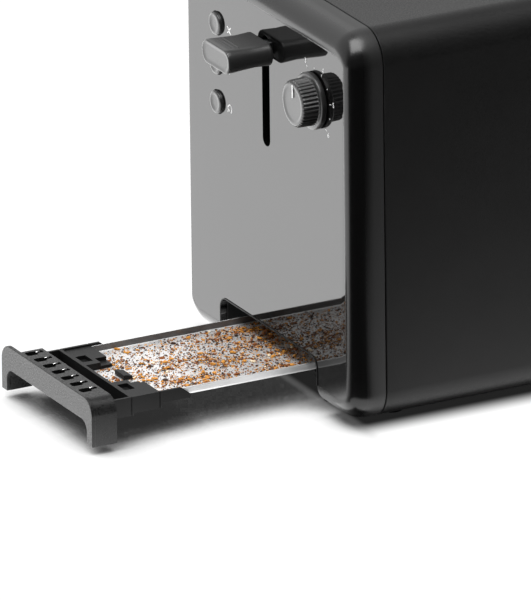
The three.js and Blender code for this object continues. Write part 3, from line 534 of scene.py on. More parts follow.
def add_shell():
    (x0, x1), lip = SHELL_X, SEAM_EASE
    ends = [(0, lip, lip), (0.3 * lip, 0.3 * lip, 0.3 * lip), (lip, 0, 0)]
    outside = [(x0 + a, b, c) for a, b, c in ends] + [(x1 - a, b, c) for a, b, c in reversed(ends)]
    shell = link_mesh("shell", swept_body(outside + [(x1, WALL, WALL), (x0, WALL, WALL)]))
    (y0, y1), (low, top) = span("base_plate")[1], BODY_Z
    underside = block((x0 - MM, y0 - GAP, low - MM), (x1 + MM, y1 + GAP, low + UNDERSIDE_DEPTH))
    slots = [prism(slot_outline(side, SLOT_GROW, SLOT_R), "z", top - 10 * MM, top + MM) for side in SIDES]
    carve(shell, underside, *slots)
    piece(shell, "body_shell", "housing", "housing_shell", edge=0.25 * MM, segments=2)


def end_profile(x_face, depth):
    """Stations of an end frame: depth is +1 at the tray end and -1 at the cord end."""
    steps, ease_in = 16, 0.3 * MM
    inward = [(FRAME_DEPTH, ease_in, ease_in), (FRAME_DEPTH - ease_in, 0, 0)]
    for i in range(steps + 1):
        angle = i / steps * math.pi / 2
        share = 1 - math.cos(angle)
        inward.append((EDGE_X * (1 - math.sin(angle)), EDGE_Y * share, EDGE_Z * share))
    face = PANEL_DEPTH + GAP
    inward += [(0, PANEL_Y, PANEL_Z), (face, PANEL_Y, PANEL_Z), (face, EDGE_Y + SEAT, EDGE_Z + SEAT),
               (SEAT_BACK, EDGE_Y + SEAT, EDGE_Z + SEAT), (SEAT_BACK, FRAME_WALL_Y, FRAME_WALL_Z),
               (FRAME_DEPTH, FRAME_WALL_Y, FRAME_WALL_Z)]
    return [(x_face + depth * x, in_y, in_z) for x, in_y, in_z in inward]


def tray_arch(grow, x0, x1, z0=0.0):
    return prism(arch(OPENING_Y + grow, z0, OPENING_Z + grow, OPENING_R + grow, 10), "x", x0, x1)


def add_end_frames():
    front = link_mesh("front_frame", swept_body(end_profile(FRONT_X, 1)))
    room = tray_arch(BEZEL_WALL + GAP, FRONT_X + PANEL_DEPTH, FRONT_X + FRAME_DEPTH + MM)
    carve(front, tray_arch(0, FRONT_X - MM, FRONT_X + FRAME_DEPTH), room)
    ease(front, lambda p, q: abs(p.y) < OPENING_Y + MM and abs(q.y) < OPENING_Y + MM, 0.4 * MM)
    piece(front, "end_frame", "housing", "front_end_frame", slot="black_plastic")
    rear = link_mesh("rear_frame", swept_body(end_profile(REAR_X, -1)))
    piece(rear, "end_frame", "housing", "rear_end_frame", slot="black_plastic")


def inside_outline(first, second):
    """True for an edge that isn't on a panel's outline."""
    middle = (first + second) / 2
    low, high = BODY_Z[0] + EDGE_Z + MM, BODY_Z[1] - EDGE_Z - MM
    return abs(middle.y) < BODY_Y[1] - EDGE_Y - MM and low < middle.z < high


def add_panel(name, x_face, depth, look, node, *tools):
    """A panel that fills an end frame flush to its rim, with the holes that the tools cut."""
    back = x_face + depth * PANEL_DEPTH
    panel = link_mesh(name, skin([body_ring(x, PANEL_Y, PANEL_Z) for x in (back, x_face)]))
    carve(panel, *tools)
    ease(panel, inside_outline, 0.35 * MM)
    piece(panel, look, "housing", node)


def add_panels():
    def hole(radius, centre, x0, x1):
        return turned([(x0, radius), (x1, radius)], "x", centre)

    cut = (FRONT_X - MM, FRONT_X + PANEL_DEPTH + MM)
    lever_slot = rounded(-LEVER_SLOT_Y, LEVER_SLOT_Y, *LEVER_SLOT_Z, LEVER_SLOT_Y * 0.99, 12)
    buttons = [hole(BUTTON_HOLE, centre_yz(name), *cut) for name in BUTTONS]
    add_panel("front_panel", FRONT_X, 1, "panel_gloss", "control_panel", tray_arch(0, *cut),
              prism(lever_slot, "x", *cut), *buttons, hole(DIAL_HOLE, DIAL_CENTRE, *cut))
    cut = (REAR_X - PANEL_DEPTH - MM, REAR_X + MM)
    vents = [prism(rounded(-VENT_Y, VENT_Y, z, z + VENT_TALL, VENT_TALL * 0.475, 8), "x", *cut)
             for z in (VENT_Z + VENT_PITCH * i for i in range(VENTS))]
    add_panel("back_panel", REAR_X, -1, "black_plastic", "rear_panel",
              hole(GLAND_HOLE, centre_yz("cord_gland"), *cut), *vents)


def add_bezel():
    (x0, x1), _, (low, _) = span("tray_opening_bezel")
    bezel = link_mesh("opening_bezel", tray_arch(BEZEL_WALL, x0, x1, low))
    carve(bezel, tray_arch(-GAP, x0 - MM, x1 + MM))
    piece(bezel, "black_plastic", "housing", "tray_opening_bezel", edge=0.35 * MM)
    outline = tray_arch(OPENING_LIP, FRONT_X - LIP_PROUD, FRONT_X, BODY_Z[0] + PANEL_Z)
    lip = link_mesh("opening_lip", outline)
    carve(lip, tray_arch(-0.05 * MM, FRONT_X - MM, FRONT_X + MM))
    piece(lip, "black_plastic", "housing", edge=0.12 * MM, segments=2)


def add_slot_trims():
    """Pressed steel surrounds: a throat, and a flange whose edge is rolled under."""
    for side in SIDES:
        low, high = span(f"slot_trim_{side}")[2]
        flange = high - 0.8 * MM
        section = [(low, 0), *stations(high, 0, (-0.6, 0), (-0.25, 0.12), (-0.03, 0.45), (0, 0.9), (0, 4.4),
                                       (-0.1, 4.8), (-0.35, 5)),
                   *stations(flange, 0, (0.05, 4.85), (0, 4.5), (0, 1.9), (-0.4, 1.5)), (low, 1.5 * MM)]
        rings = [[Vector((x, y, z)) for x, y in slot_outline(side, grow, 4 * MM + 0.8 * grow)]
                 for z, grow in section]
        trim = link_mesh(f"slot_surround_{side}", skin(rings, closed=True))
        piece(trim, "trim_steel", "housing", f"slot_trim_{side}")


# ---- oven ----
RIBBON_TURNS, RIBBON_PITCH, RIBBON_START = 9, 16 * MM, 17.5 * MM
RIBBON_HALF, RIBBON_THICK = 0.8 * MM, 0.12 * MM
RIBBON_ROWS, CRIMPS, CRIMP_DEPTH = 60, 24, 0.35 * MM
GUIDE_WIRES, GUIDE_FLARE = 9, 2.2 * MM
GUIDE_RAIL, GUIDE_BEND, GUIDE_RISE = 9 * MM, 6 * MM, 5.2 * MM  # top rail, bend's start, bend's rise
SPRING_WIRE, SPRING_TURNS, CLOSED_TURNS = 0.65 * MM, 8, 0.9


def ribbon(bm, x, lean, y, away, z0, z1):
    """One crimped run up a board's face, leaning over to where the next one starts."""
    end = 2 * MM
    rings = []
    for k in range(RIBBON_ROWS + 1):
        share = k / RIBBON_ROWS
        crimped = y + away * CRIMP_DEPTH * abs(math.sin(share * math.pi * CRIMPS))
        at, z = x + lean * share, z0 + end + share * (z1 - z0 - 2 * end)
        outer = crimped + away * RIBBON_THICK
        left, right = at - RIBBON_HALF, at + RIBBON_HALF
        corners = ((left, crimped), (right, crimped), (right, outer), (left, outer))
        rings.append([Vector((*corner, z)) for corner in corners])
    skin(rings, bm=bm)


def add_heaters():
    """Mica boards, with a crimped heating ribbon wound round each."""
    for board in (f"{side}_{place}" for side in SIDES for place in ("inner", "outer")):
        (x0, _), (y0, y1), (z0, z1) = span(f"heater_board_{board}")
        bm = bmesh.new()
        for i in range(RIBBON_TURNS):
            x = x0 + RIBBON_START + i * RIBBON_PITCH
            ribbon(bm, x, 0, y0 - 0.1 * MM, -1, z0, z1)
            ribbon(bm, x, RIBBON_PITCH if i < RIBBON_TURNS - 1 else 0, y1 + 0.1 * MM, 1, z0, z1)
        piece(link_mesh(f"heating_ribbon_{board}", bm), "nichrome", "housing", slot="wire_steel")
        soften(f"heater_board_{board}", 0.12 * MM)


def add_bread_guides():
    """Cages of round wire: two rails, and uprights that flare away from the bread at the top."""
    for side, sign in SIDES.items():
        for place in ("inner", "outer"):
            node = f"bread_guide_{side}_{place}"
            (x0, x1), (y0, y1), (z0, z1) = span(node)
            radius, y = (y1 - y0) / 2, (y0 + y1) / 2
            flare = sign * (1 if place == "outer" else -1) * GUIDE_FLARE
            bm = bmesh.new()
            for z in (z0 + radius, z1 - GUIDE_RAIL):
                tube([(x0 + radius, y, z), (x1 - radius, y, z)], radius, bm)
            for i in range(GUIDE_WIRES):
                x = x0 + radius + (x1 - x0 - 2 * radius) * i / (GUIDE_WIRES - 1)
                top = [(x, y + flare * (1 - math.cos(a)), z1 - GUIDE_BEND + GUIDE_RISE * math.sin(a))
                       for a in (j / 6 * math.pi / 2 for j in range(7))]
                tube([(x, y, z0 + radius), (x, y, (z0 + z1) / 2), *top], radius * 0.85, bm)
            piece(link_mesh(f"wire_guide_{side}_{place}", bm), "wire_steel", f"guide_{side}_{place}", node)


def add_return_springs():
    """Coil springs with closed ends."""
    steps, wire = 28, SPRING_WIRE
    closed_rise = 2.1 * wire  # of each closed end
    for side in SIDES:
        node = f"return_spring_{side}"
        (x0, x1), (y0, y1), (z0, z1) = span(node)
        mid_x, mid_y = (x0 + x1) / 2, (y0 + y1) / 2
        coil = (x1 - x0) / 2 - wire
        points = []
        for i in range(SPRING_TURNS * steps + 1):
            turn = i / steps
            share = min(max((turn - CLOSED_TURNS) / (SPRING_TURNS - 2 * CLOSED_TURNS), 0), 1)
            past = max(turn - SPRING_TURNS + CLOSED_TURNS, 0)
            closed = closed_rise * (min(turn, CLOSED_TURNS) + past) / CLOSED_TURNS
            rise = z0 + wire + closed + share * (z1 - z0 - 2 * wire - 2 * closed_rise)
            angle = turn * 2 * math.pi
            points.append((mid_x + coil * math.cos(angle), mid_y + coil * math.sin(angle), rise))
        spring = link_mesh(f"coil_spring_{side}", tube(points, wire))
        piece(spring, "wire_steel", "housing", node)
        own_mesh(spring)


# ---- controls ----
DIAL_R = (span("browning_knob")[1][1] - span("browning_knob")[1][0]) / 2
DIAL_GRIP_R, DIAL_STEM_R, DIAL_SKIRT_X = DIAL_R - 2.4 * MM, 3 * MM, 8.5 * MM
DIAL_START, DIAL_SWEEP, DIAL_TICKS, DIAL_NUMBERS = 225, 270, 11, 6  # the scale, in degrees and counts
PRINT_FACE, PRINT_BACK = FRONT_X - 0.04 * MM, FRONT_X + 0.1 * MM
TICK_HALF, STROKE_HALF = 0.2 * MM, 0.28 * MM
SIGN_ASIDE = 12.5 * MM
RIBS, RIB_START, RIB_PITCH, RIB_Y = 3, 4 * MM, 2.2 * MM, 8 * MM


def add_dial():
    """A fluted dial on a plain skirt, with a pointer let into its face."""
    x0, x1 = span("browning_knob")[0]
    grip, skirt = DIAL_GRIP_R, x0 + DIAL_SKIRT_X
    profile = [*stations(x0, grip, (0.5, -4), (0.15, -3), (0, -2.2), (0.1, -1.4, 0.1), (0.5, -0.6, 0.3),
                         (1.3, 0, 0.7)),
               *stations(skirt, grip, (-0.6, 0.2, 0.7), (-0.2, 0.5, 0.2), (0, 1)),
               *stations(skirt, DIAL_R, (0, -0.8), (0.25, -0.2), (0.8, 0), (2.6, 0), (3, -0.4)),
               (skirt + 3 * MM, DIAL_STEM_R), (x1, DIAL_STEM_R)]
    knob = link_mesh("dial", turned(profile, "x", DIAL_CENTRE, steps=216, flutes=36))
    piece(knob, "control_plastic", "browning_dial", "browning_knob")
    y, z = DIAL_CENTRE
    half = 0.5 * MM
    line = block((x0 - 0.01 * MM, y - half, z + 3.2 * MM), (x0 + half, y + half, z + grip - 2 * MM))
    piece(link_mesh("dial_pointer", line), "marking", "browning_dial", slot="control_plastic", edge=0.1 * MM)


def printed(bm, centre, start, end, half):
    """A thin printed bar on the front panel, from start to end across and up from a centre."""
    along = (end - start).normalized()
    side = Vector((-along.y, along.x)) * half
    corners = (start - side, end - side, end + side, start + side)
    prism([(centre[0] - p.x, centre[1] + p.y) for p in corners], "x", PRINT_FACE, PRINT_BACK, bm=bm)


def way(degrees, reach=1):
    """The arrow that points along an angle, across and up."""
    angle = math.radians(degrees)
    return Vector((reach * math.cos(angle), reach * math.sin(angle)))


def add_dial_scale():
    """Short printed ticks round the dial, longer at every second one, with numbers one to six."""
    bm = bmesh.new()
    for i in range(DIAL_TICKS):
        out = way(DIAL_START - DIAL_SWEEP * i / (DIAL_TICKS - 1))
        far = DIAL_R + (3.2 if i % 2 == 0 else 2.4) * MM
        printed(bm, DIAL_CENTRE, out * (DIAL_R + 1.4 * MM), out * far, TICK_HALF)
    piece(link_mesh("dial_ticks", bm), "marking", "housing", slot="control_plastic")
    for i in range(DIAL_NUMBERS):
        text = bpy.data.curves.new(f"dial_number_{i + 1}", "FONT")
        text.body = str(i + 1)
        text.size, text.extrude = 3.6 * MM, 0.06 * MM
        text.align_x, text.align_y = "CENTER", "CENTER"
        flat = link_object("flat_number", text)
        bpy.context.view_layer.update()
        mesh = evaluated_mesh(flat)
        bpy.data.objects.remove(flat)
        upright = Matrix(((0, 0, -1), (-1, 0, 0), (0, 1, 0))).to_4x4()
        out = way(DIAL_START - DIAL_SWEEP * i / (DIAL_NUMBERS - 1), DIAL_R + 5.4 * MM)
        place = (PRINT_FACE, DIAL_CENTRE[0] - out.x, DIAL_CENTRE[1] + out.y)
        mesh.transform(Matrix.Translation(place) @ upright)
        number = link_object(f"dial_number_{i + 1}", mesh)
        piece(number, "marking", "housing", slot="control_plastic")


def add_buttons():
    """Domed push buttons, each with a flange behind the panel."""
    back = FRONT_X + PANEL_DEPTH
    for name in BUTTONS:
        x0, x1 = span(name)[0]
        profile = [*stations(x0, 0, (0.5, 1.5), (0.42, 3.2), (0.12, 4), (0, 4.5), (0.08, 5.1), (0.35, 5.55),
                             (0.8, 5.8)),
                   *stations(back, 0, (0.4, 5.8), (0.4, 7.4), (2, 7.4), (2, 2)), (x1, 2 * MM)]
        button = link_mesh(name.replace("_button", "_push"), turned(profile, "x", centre_yz(name), steps=56))
        piece(button, "control_plastic", name.replace("_button", "_key"), name)


def add_button_signs():
    """A cross, a star and a turned-back arrow, beside their buttons, drawn in millimetres."""
    star = [(-way(q, 2.2), way(q, 2.2)) for q in (30, 90, 150)]
    cross = [(Vector((-1.7, s * -1.7)), Vector((1.7, s * 1.7))) for s in (1, -1)]
    ring = [way(q, 2) for q in range(-60, 241, 25)]
    barbs = [(ring[-1], ring[-1] + Vector(barb)) for barb in ((-1.3, 0.2), (0.3, 1.4))]
    for name, lines in zip(BUTTONS, (cross, star, list(zip(ring, ring[1:])) + barbs)):
        y, z = centre_yz(name)
        bm = bmesh.new()
        for start, end in lines:
            printed(bm, (y - SIGN_ASIDE, z), start * MM, end * MM, STROKE_HALF)
        piece(link_mesh(name.replace("_button", "_sign"), bm), "marking", "housing", slot="control_plastic")


def add_lever():
    """The lever's paddle: a soft oblong, waisted behind, with three grip ribs on top."""
    (x0, x1), (y0, y1), (z0, z1) = span("lever_knob")
    mid_y, mid_z = (y0 + y1) / 2, (z0 + z1) / 2
    half_y, half_z = (y1 - y0) / 2, (z1 - z0) / 2
    rings = []  # below: millimetres back, and the share of the width and of the height
    for x, y_share, z_share in ((0.6, 0.80, 0.55), (0.15, 0.9, 0.75), (0, 0.955, 0.88), (0.12, 0.985, 0.95),
                                (0.6, 1, 1), (3, 1, 1), (9, 0.975, 0.93), (16, 0.95, 0.88), (23, 0.97, 0.95),
                                (23.9, 0.96, 0.94), (24.3, 0.93, 0.9), (24.5, 0.88, 0.84)):
        a, b = half_y * y_share, half_z * z_share
        outline = rounded(mid_y - a, mid_y + a, mid_z - b, mid_z + b, min(5.5 * MM, b * 0.9), 10)
        rings.append([on_axis("x", y, z, x0 + x * MM) for y, z in outline])
    paddle = link_mesh("lever_paddle", skin(rings))
    (arm_x, _), _, (_, arm_top) = span("lever_arm")
    socket_y = 2.8 * MM
    socket = block((arm_x - GAP, -socket_y, arm_top - 6.3 * MM), (x1 + MM, socket_y, arm_top + GAP))
    carve(paddle, socket)
    piece(paddle, "control_plastic", "lift", "lever_knob")
    ribs = bmesh.new()
    for i in range(RIBS):
        x = x0 + RIB_START + RIB_PITCH * i
        z = mid_z + half_z * (1 - 0.012 * (i + 1)) - 0.28 * MM
        tube([(x, mid_y - RIB_Y, z), (x, mid_y + RIB_Y, z)], 0.4 * MM, ribs)
    piece(link_mesh("lever_ribs", ribs), "control_plastic", "lift")


# ---- feet and gland ----
def add_feet():
    for name in (f"{end}_{side}" for end in ("front", "rear") for side in SIDES):
        (x0, x1), (y0, y1), _ = span(f"foot_{name}")
        r = (x1 - x0) / 2
        profile = [*stations(0, r, (0.25, -2.6), (0, -1.9), (0, -1.2), (0.2, -0.75), (0.6, -0.6),
                             (1.4, -0.55), (1.6, -0.8), (1.9, -0.8), (2.1, -0.45), (3.3, -0.1), (3.6, 0),
                             (3.7, -0.15)),
                   *stations(0, 0, (3.7, 2.6), (8, 2.6))]
        foot = turned(profile, "z", ((x0 + x1) / 2, (y0 + y1) / 2), steps=40)
        piece(link_mesh(f"rubber_foot_{name}", foot), "rubber", "housing", f"foot_{name}")


def add_gland():
    """The lead's gland: a flanged bush with an open bore."""
    x0, x1 = span("cord_gland")[0]
    outer = (-1.2, 7), (-0.4, 6.8), (0, 6.2)
    bore = (0, 5.2), (-0.4, 5), (-2, 4.8), (-2.6, 3.6)
    profile = [*stations(x0, 0, (0, 6.4), (4.7, 6.4), (5.1, 8.6), (8.6, 8.6), (8.7, 7)),
               *stations(x1, 0, *outer, *bore), *stations(x0, 0, (0, 3.4))]
    gland = link_mesh("gland_bush", turned(profile, "x", centre_yz("cord_gland"), steps=40, closed=True))
    piece(gland, "rubber", "housing", "cord_gland", slot="black_plastic", edge=0.2 * MM)


# ---- crumb tray ----
HANDLE_X, HANDLE_Y, HANDLE_Z = span("tray_handle")
FACE, LEG, BLOCK_STEP = 2 * MM, 5.4 * MM, 0.35 * MM  # the handle's plate, its legs, its block's set-in
ARCH_Z, ARCH_R, SHOULDER_R = 16 * MM, 5.5 * MM, 8 * MM
LEDGE_Z, LEDGE_END, LOW_Z = HANDLE_Z[1] - 0.3 * MM, 30.6 * MM, 17.8 * MM
LEDGE_SLOTS, LEDGE_SLOT_PITCH, LEDGE_MIDDLE = 7, 9.35 * MM, -1.6 * MM
BLOCKS_END = HANDLE_X[1] + 29.1 * MM  # where the moulding's corner blocks stop and the pan's sides start
PAN_X, PAN_Y, PAN_Z = span("crumb_tray_pan")
PAN_SHEET, PAN_FOLD = 0.6 * MM, 0.8 * MM
CRUMB_COUNT, DRIFT_COUNT, DRIFT_SHARE, LARGE_SHARE = 21000, 70, 0.35, 0.014
CRUMB_SIZES = (0.35, 0.4, 0.45, 0.5, 0.55, 0.6, 0.7, 0.8, 1.0)  # mm
LARGE_CRUMB = 1.4 * MM
CRUMB_LOOKS = ("crumb_golden", "crumb_brown", "crumb_burnt", "crumb_pale")


def add_handle():
    """A thin face plate, and behind it a block with a finger ledge and a low far leg."""
    half, x0, z0 = HANDLE_Y[1], HANDLE_X[0], HANDLE_Z[0]
    opening = arch(half - LEG, z0, ARCH_Z, ARCH_R, 10)[::-1]
    face = arch(half, z0, HANDLE_Z[1], SHOULDER_R, 12) + opening
    behind = [(half - BLOCK_STEP, z0), (half - BLOCK_STEP, LOW_Z), (LEDGE_END, LOW_Z), (LEDGE_END, LEDGE_Z),
              *arc(SHOULDER_R - half, LEDGE_Z - SHOULDER_R, SHOULDER_R - BLOCK_STEP, 1, 2, 12),
              (BLOCK_STEP - half, z0), *opening]
    plate = link_mesh("handle_face", prism(face, "x", x0, x0 + FACE))
    back = link_mesh("handle_block", prism(behind, "x", x0 + FACE, HANDLE_X[1]))
    cuts, clips = [], bmesh.new()
    for i in range(LEDGE_SLOTS):
        y = LEDGE_MIDDLE + (i - (LEDGE_SLOTS - 1) / 2) * LEDGE_SLOT_PITCH
        for outline in (rounded(x0 + 2.8 * MM, x0 + 8.6 * MM, y - 2.4 * MM, y + 2.4 * MM, 1.3 * MM, 5),
                        rounded(x0 + 7 * MM, x0 + 12.2 * MM, y - 0.6 * MM, y + 2.1 * MM, 0.9 * MM, 5)):
            cuts.append(prism(outline, "z", LEDGE_Z - 7 * MM, LEDGE_Z + MM))
        bend = ((8.6, 1.25, 0.25), (9.6, 1.3, 0.1), (10.8, 1.25, 0.25))
        tube([(x0 + a * MM, y + b * MM, LEDGE_Z - c * MM) for a, b, c in bend], 0.3 * MM, clips)
    carve(back, *cuts)
    piece(plate, "handle_plastic", "crumb_tray", "tray_handle", slot="black_plastic", edge=0.3 * MM)
    piece(back, "handle_plastic", "crumb_tray", "tray_handle", slot="black_plastic", edge=0.35 * MM)
    piece(link_mesh("ledge_clips", clips), "wire_steel", "crumb_tray")


def add_catch_tab():
    """A small ramp that keeps the tray from being drawn right out."""
    (x0, x1), (y0, y1), (z0, z1) = span("tray_catch_tab")
    outline = [(z0, x0), (z1, x0), (z1, x0 + 1.2 * MM), (z0 + (z1 - z0) * 0.6, x1), (z0, x1)]
    tab = link_mesh("catch_ramp", prism(outline, "y", y0, y1))
    piece(tab, "black_plastic", "crumb_tray", "tray_catch_tab", edge=0.35 * MM)


def add_crumb_pan():
    """Folded sheet: a floor, sides turned up on a small radius, and a rolled rim."""
    (x0, x1), (y0, y1), (z0, z1) = PAN_X, PAN_Y, PAN_Z
    fold = (y1 - PAN_SHEET - PAN_FOLD, z0 + PAN_SHEET + PAN_FOLD)
    rim = stations(y1, z1, (0, -0.25), (-0.08, -0.08), (-0.3, 0), (-0.52, -0.08), (-0.6, -0.25))
    half = arc(*fold, PAN_FOLD + PAN_SHEET, -1, 0, 6) + rim + arc(*fold, PAN_FOLD, 0, -1, 6)
    bm = prism(half + [(-y, z) for y, z in reversed(half)], "x", BLOCKS_END, x1)
    block((x0, y0, z0), (BLOCKS_END, y1, z0 + PAN_SHEET), bm)
    block((x1 - PAN_SHEET, y0 + 0.7 * MM, z0), (x1, y1 - 0.7 * MM, z1), bm)
    pan = link_mesh("pan", bm)
    piece(pan, "tray_steel", "crumb_tray", "crumb_tray_pan", edge=0.12 * MM, segments=2)
    # the inner faces of the side walls take the darker copy of the steel, as painted shade
    pan.data.materials.append(LOOKS["tray_wall_painted_shade"])
    for face in pan.data.polygons:
        inward = -face.normal.y * math.copysign(1, face.center.y)
        face.material_index = int(inward > 0.8)


def ball(subdivisions):
    """The points and faces of a small round ball."""
    bm = bmesh.new()
    bmesh.ops.create_icosphere(bm, subdivisions=subdivisions, radius=1)
    shape = [v.co.copy() for v in bm.verts], [[v.index for v in f.verts] for f in bm.faces]
    bm.free()
    return shape


BALLS = {"small": ball(1), "large": ball(2)}


def crumb(rng, centre, size, flat):
    """One toasted crumb: a small ball pushed about, flattened and turned."""
    points, faces = BALLS["large" if size > LARGE_CRUMB else "small"]
    spin, lean = rng.uniform(0, 2 * math.pi), rng.uniform(-0.4, 0.4)
    turn = Matrix.Rotation(spin, 3, "Z") @ Matrix.Rotation(lean, 3, "X")
    scale = Vector((rng.uniform(1.0, 1.8), 1, flat)) * (size / 2)
    return [turn @ (p * scale) * rng.uniform(0.75, 1.12) + centre for p in points], faces


def crumb_places(rng):
    """Where crumbs lie, with their sizes: thicker towards the oven, in drifts, clear of the moulding."""
    low_x, high_x, reach_y = PAN_X[0] + 2 * MM, PAN_X[1] - 3 * MM, PAN_Y[1] - 1.6 * MM
    tab_x = span("tray_catch_tab")[0]
    drifts = [(rng.uniform(*PAN_X), rng.uniform(*PAN_Y)) for _ in range(DRIFT_COUNT)]
    while True:
        x, y = rng.uniform(low_x, high_x), rng.uniform(-reach_y, reach_y)
        if rng.random() < DRIFT_SHARE:
            drift_x, drift_y = rng.choice(drifts)
            x, y = drift_x + rng.gauss(0, 5 * MM), drift_y + rng.gauss(0, 2 * MM)
        if not (low_x < x < high_x and abs(y) < reach_y):
            continue
        if rng.random() > 0.35 + 0.65 * min((x - PAN_X[0]) / (FRONT_X - PAN_X[0]), 1):
            continue
        if x < BLOCKS_END + MM and abs(y) > 12.8 * MM:
            continue
        if tab_x[0] - 1.2 * MM < x < tab_x[1] + 1.2 * MM and abs(y) < 3.4 * MM:
            continue
        size = rng.choice(CRUMB_SIZES) * rng.uniform(0.8, 1.25) * MM
        if rng.random() < LARGE_SHARE:
            size = rng.uniform(1.3, 2.3) * MM
        yield x, y, size


def add_crumbs():
    rng = random.Random(7)
    floor = PAN_Z[0] + PAN_SHEET
    places = crumb_places(rng)
    points, faces, shades = [], [], []
    for _ in range(CRUMB_COUNT):
        x, y, size = next(places)
        flat = rng.uniform(0.35, 0.7)
        more_points, more_faces = crumb(rng, Vector((x, y, floor + size * flat * 0.4)), size, flat)
        faces += [[i + len(points) for i in face] for face in more_faces]
        points += more_points
        weights = (0.36, 0.27, 0.35, 0.02) if size < LARGE_CRUMB else (0.62, 0.3, 0.04, 0.04)
        shades += rng.choices(range(len(CRUMB_LOOKS)), weights) * len(more_faces)
    mesh = bpy.data.meshes.new("crumbs")
    mesh.from_pydata(points, [], faces)
    mesh.polygons.foreach_set("material_index", shades)
    for look in CRUMB_LOOKS:
        mesh.materials.append(LOOKS[look])
    crumbs = link_object("crumbs", mesh)
    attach(crumbs, "crumb_tray")


# ---- carried-over CAD nodes ----
def soften(node, width, merge_flats=True):
    """Rounds a CAD node's edges for the eye, by modifiers only, and gives it its material."""
    obj = NODES[node]
    obj.material_slots[0].material = LOOKS[obj.material_slots[0].material.name.split(".")[0]]
    weld = obj.modifiers.new("weld", "WELD")
    weld.merge_threshold = WELD_REACH
    if merge_flats:
        flat = obj.modifiers.new("flat", "DECIMATE")
        flat.decimate_type = "DISSOLVE"
        flat.angle_limit = FLAT
    round_edges(obj, width, segments=2)


add_shell()
add_end_frames()
add_panels()
add_bezel()
add_slot_trims()
add_heaters()
add_bread_guides()
add_return_springs()
add_dial()
add_dial_scale()
add_buttons()
add_button_signs()
add_lever()
add_feet()
add_gland()
add_handle()
add_catch_tab()
add_crumb_pan()
add_crumbs()
KEPT = [name for name, obj in NODES.items() if not obj.hide_render and not name.startswith("heater_board")]
for name in KEPT:
    soften(name, 0.3 * MM, merge_flats=name != "tray_carrier")


# ---- studio ----
FLOOR_SPAN = (-8, 8)  # metres
AWAY = (-0.5, 0.87, 0)  # the way the floor gets brighter
SKY_AWAY = (-0.45, 0.87, 0.15)  # the way the sky gets brighter
LIT_FROM = {"X": -0.45, "Z": 0.9}  # the side that light reaches the floor from
CLOSED_AT, DARKEST = 0.42, 0.025  # how open the floor is where it is darkest, and its light there


def contact_light(tree, open_at):
    """The share of light that gets to the floor, less beside and under what stands near it."""
    lean = add_node(tree, "ShaderNodeCombineXYZ", LIT_FROM).outputs["Vector"]
    shade = add_node(tree, "ShaderNodeAmbientOcclusion", {"Distance": 30 * MM, "Normal": lean}, samples=16)
    return map_range(tree, shade.outputs["AO"], CLOSED_AT, open_at, DARKEST, eased=True)


def body_light(tree, place):
    """The light on the floor from under the body out to just past its sides."""
    middle = ((FRONT_X + REAR_X) / 2, 0, 0)
    half = ((REAR_X - FRONT_X) / 2 - CORNER_R, BODY_Y[1] - CORNER_R, 0)
    from_middle = vector_maths(tree, "ABSOLUTE", vector_maths(tree, "SUBTRACT", place, middle))
    past = vector_maths(tree, "MAXIMUM", vector_maths(tree, "SUBTRACT", from_middle, half), (0, 0, 0))
    reach = vector_maths(tree, "LENGTH", past, output="Value")
    return map_range(tree, reach, CORNER_R - 15 * MM, CORNER_R + 5.5 * MM, 0.015, eased=True)


def floor_sheet(name, height, span_x, span_y, seen=False):
    """A level sheet that only the camera sees, or only the object: its node tree and its glow's strength."""
    bm = bmesh.new()
    bmesh.ops.create_grid(bm, x_segments=4, y_segments=4, size=0.5)
    bmesh.ops.scale(bm, vec=(span_x[1] - span_x[0], span_y[1] - span_y[0], 1), verts=bm.verts)
    bmesh.ops.translate(bm, vec=(sum(span_x) / 2, sum(span_y) / 2, height), verts=bm.verts)
    obj = link_mesh(name, bm)
    material = bpy.data.materials.new(name)
    material.use_nodes = True
    tree = material.node_tree
    tree.nodes.clear()
    glow = add_node(tree, "ShaderNodeEmission")
    add_node(tree, "ShaderNodeOutputMaterial", {"Surface": glow.outputs[0]})
    obj.data.materials.append(material)
    obj.visible_shadow = False
    if seen:
        obj.visible_diffuse = obj.visible_glossy = obj.visible_transmission = False
    else:
        obj.visible_camera = False
    return tree, glow.inputs["Strength"]


def add_seen_floor():
    """The white floor that the camera sees, with its contact shadows."""
    tree, strength = floor_sheet("floor_seen", 0, FLOOR_SPAN, FLOOR_SPAN, seen=True)
    place = add_node(tree, "ShaderNodeTexCoord").outputs["Object"]
    beside = map_range(tree, axis_of(tree, place, "X"), FRONT_X + 7 * MM, FRONT_X + 15 * MM, eased=True)
    sources = {"Factor": beside, "A": contact_light(tree, 0.92), "B": body_light(tree, place)}
    mixed = add_node(tree, "ShaderNodeMix", sources, data_type="FLOAT").outputs["Result"]
    tree.links.new(maths(tree, "MULTIPLY", mixed, 1.1), strength)


def add_bounce_floor():
    """The floor as the object sees it, just below the other: bright behind and to the left."""
    tree, strength = floor_sheet("floor_bounce", -0.3 * MM, FLOOR_SPAN, FLOOR_SPAN)
    place = add_node(tree, "ShaderNodeTexCoord").outputs["Object"]
    across = vector_maths(tree, "DOT_PRODUCT", place, AWAY, output="Value")
    share = map_range(tree, across, -0.03, 0.06, 0.03, 3.4, eased=True)
    tree.links.new(maths(tree, "MULTIPLY", contact_light(tree, 0.8), share), strength)


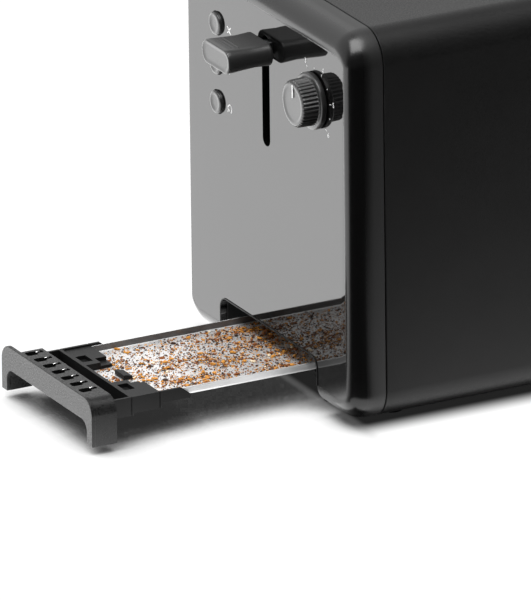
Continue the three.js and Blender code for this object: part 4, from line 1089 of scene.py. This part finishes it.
def add_side_card():
    """A pale card lying in front of the long side, brightest close to the body."""
    near = BODY_Y[0] + 3 * MM
    far = near - 0.26
    tree, strength = floor_sheet("side_card", -0.15 * MM, (FRONT_X + 35 * MM, REAR_X + 0.25), (far, near))
    place = add_node(tree, "ShaderNodeTexCoord").outputs["Object"]
    tree.links.new(map_range(tree, axis_of(tree, place, "Y"), far, near - 30 * MM, 0.0, 2.0), strength)


def add_foot_cards():
    """Bright strips on the floor close along the body, which light only its lower rounding."""
    near = BODY_Y[0] + 2 * MM
    strips = {"foot_card_side": ((FRONT_X - 22 * MM, REAR_X), (near - 26 * MM, near)),
              "foot_card_end": ((FRONT_X - 14 * MM, FRONT_X - MM), (near, -OPENING_Y))}
    for name, (span_x, span_y) in strips.items():
        _, strength = floor_sheet(name, -0.1 * MM, span_x, span_y)
        strength.default_value = 2.2


def add_rear_card():
    """A pale card lying behind the cord end, so that its panel isn't lost in the dark."""
    _, strength = floor_sheet("rear_card", -0.15 * MM, (REAR_X + 10 * MM, REAR_X + 0.7), (-0.35, 0.35))
    strength.default_value = 1.3


def add_world():
    """Soft sky: pale overhead and behind, dim on the camera's side."""
    world = bpy.data.worlds.new("studio")
    world.use_nodes = True
    scene.world = world
    tree = world.node_tree
    back = tree.nodes["Background"]
    place = add_node(tree, "ShaderNodeTexCoord").outputs["Generated"]
    facing = vector_maths(tree, "DOT_PRODUCT", place, SKY_AWAY, output="Value")
    tree.links.new(map_range(tree, facing, 0.1, 0.6, 0.12, 1.4), back.inputs["Strength"])
    back.inputs["Color"].default_value = (1, 1, 1, 1)


def add_softbox(name, place, aim, size, power):
    data = bpy.data.lights.new(name, "AREA")
    data.shape = "RECTANGLE"
    data.size, data.size_y = size
    data.energy = power
    lamp = link_object(name, data)
    lamp.location = place
    lamp.rotation_euler = (Vector(aim) - Vector(place)).to_track_quat("-Z", "Y").to_euler()


add_seen_floor()
add_bounce_floor()
add_side_card()
add_foot_cards()
add_rear_card()
add_world()
add_softbox("softbox_top", (-0.25, -0.35, 1.5), (-0.1, 0, 0.05), (1.1, 1.1), 35)

scene.view_settings.view_transform = "Standard"
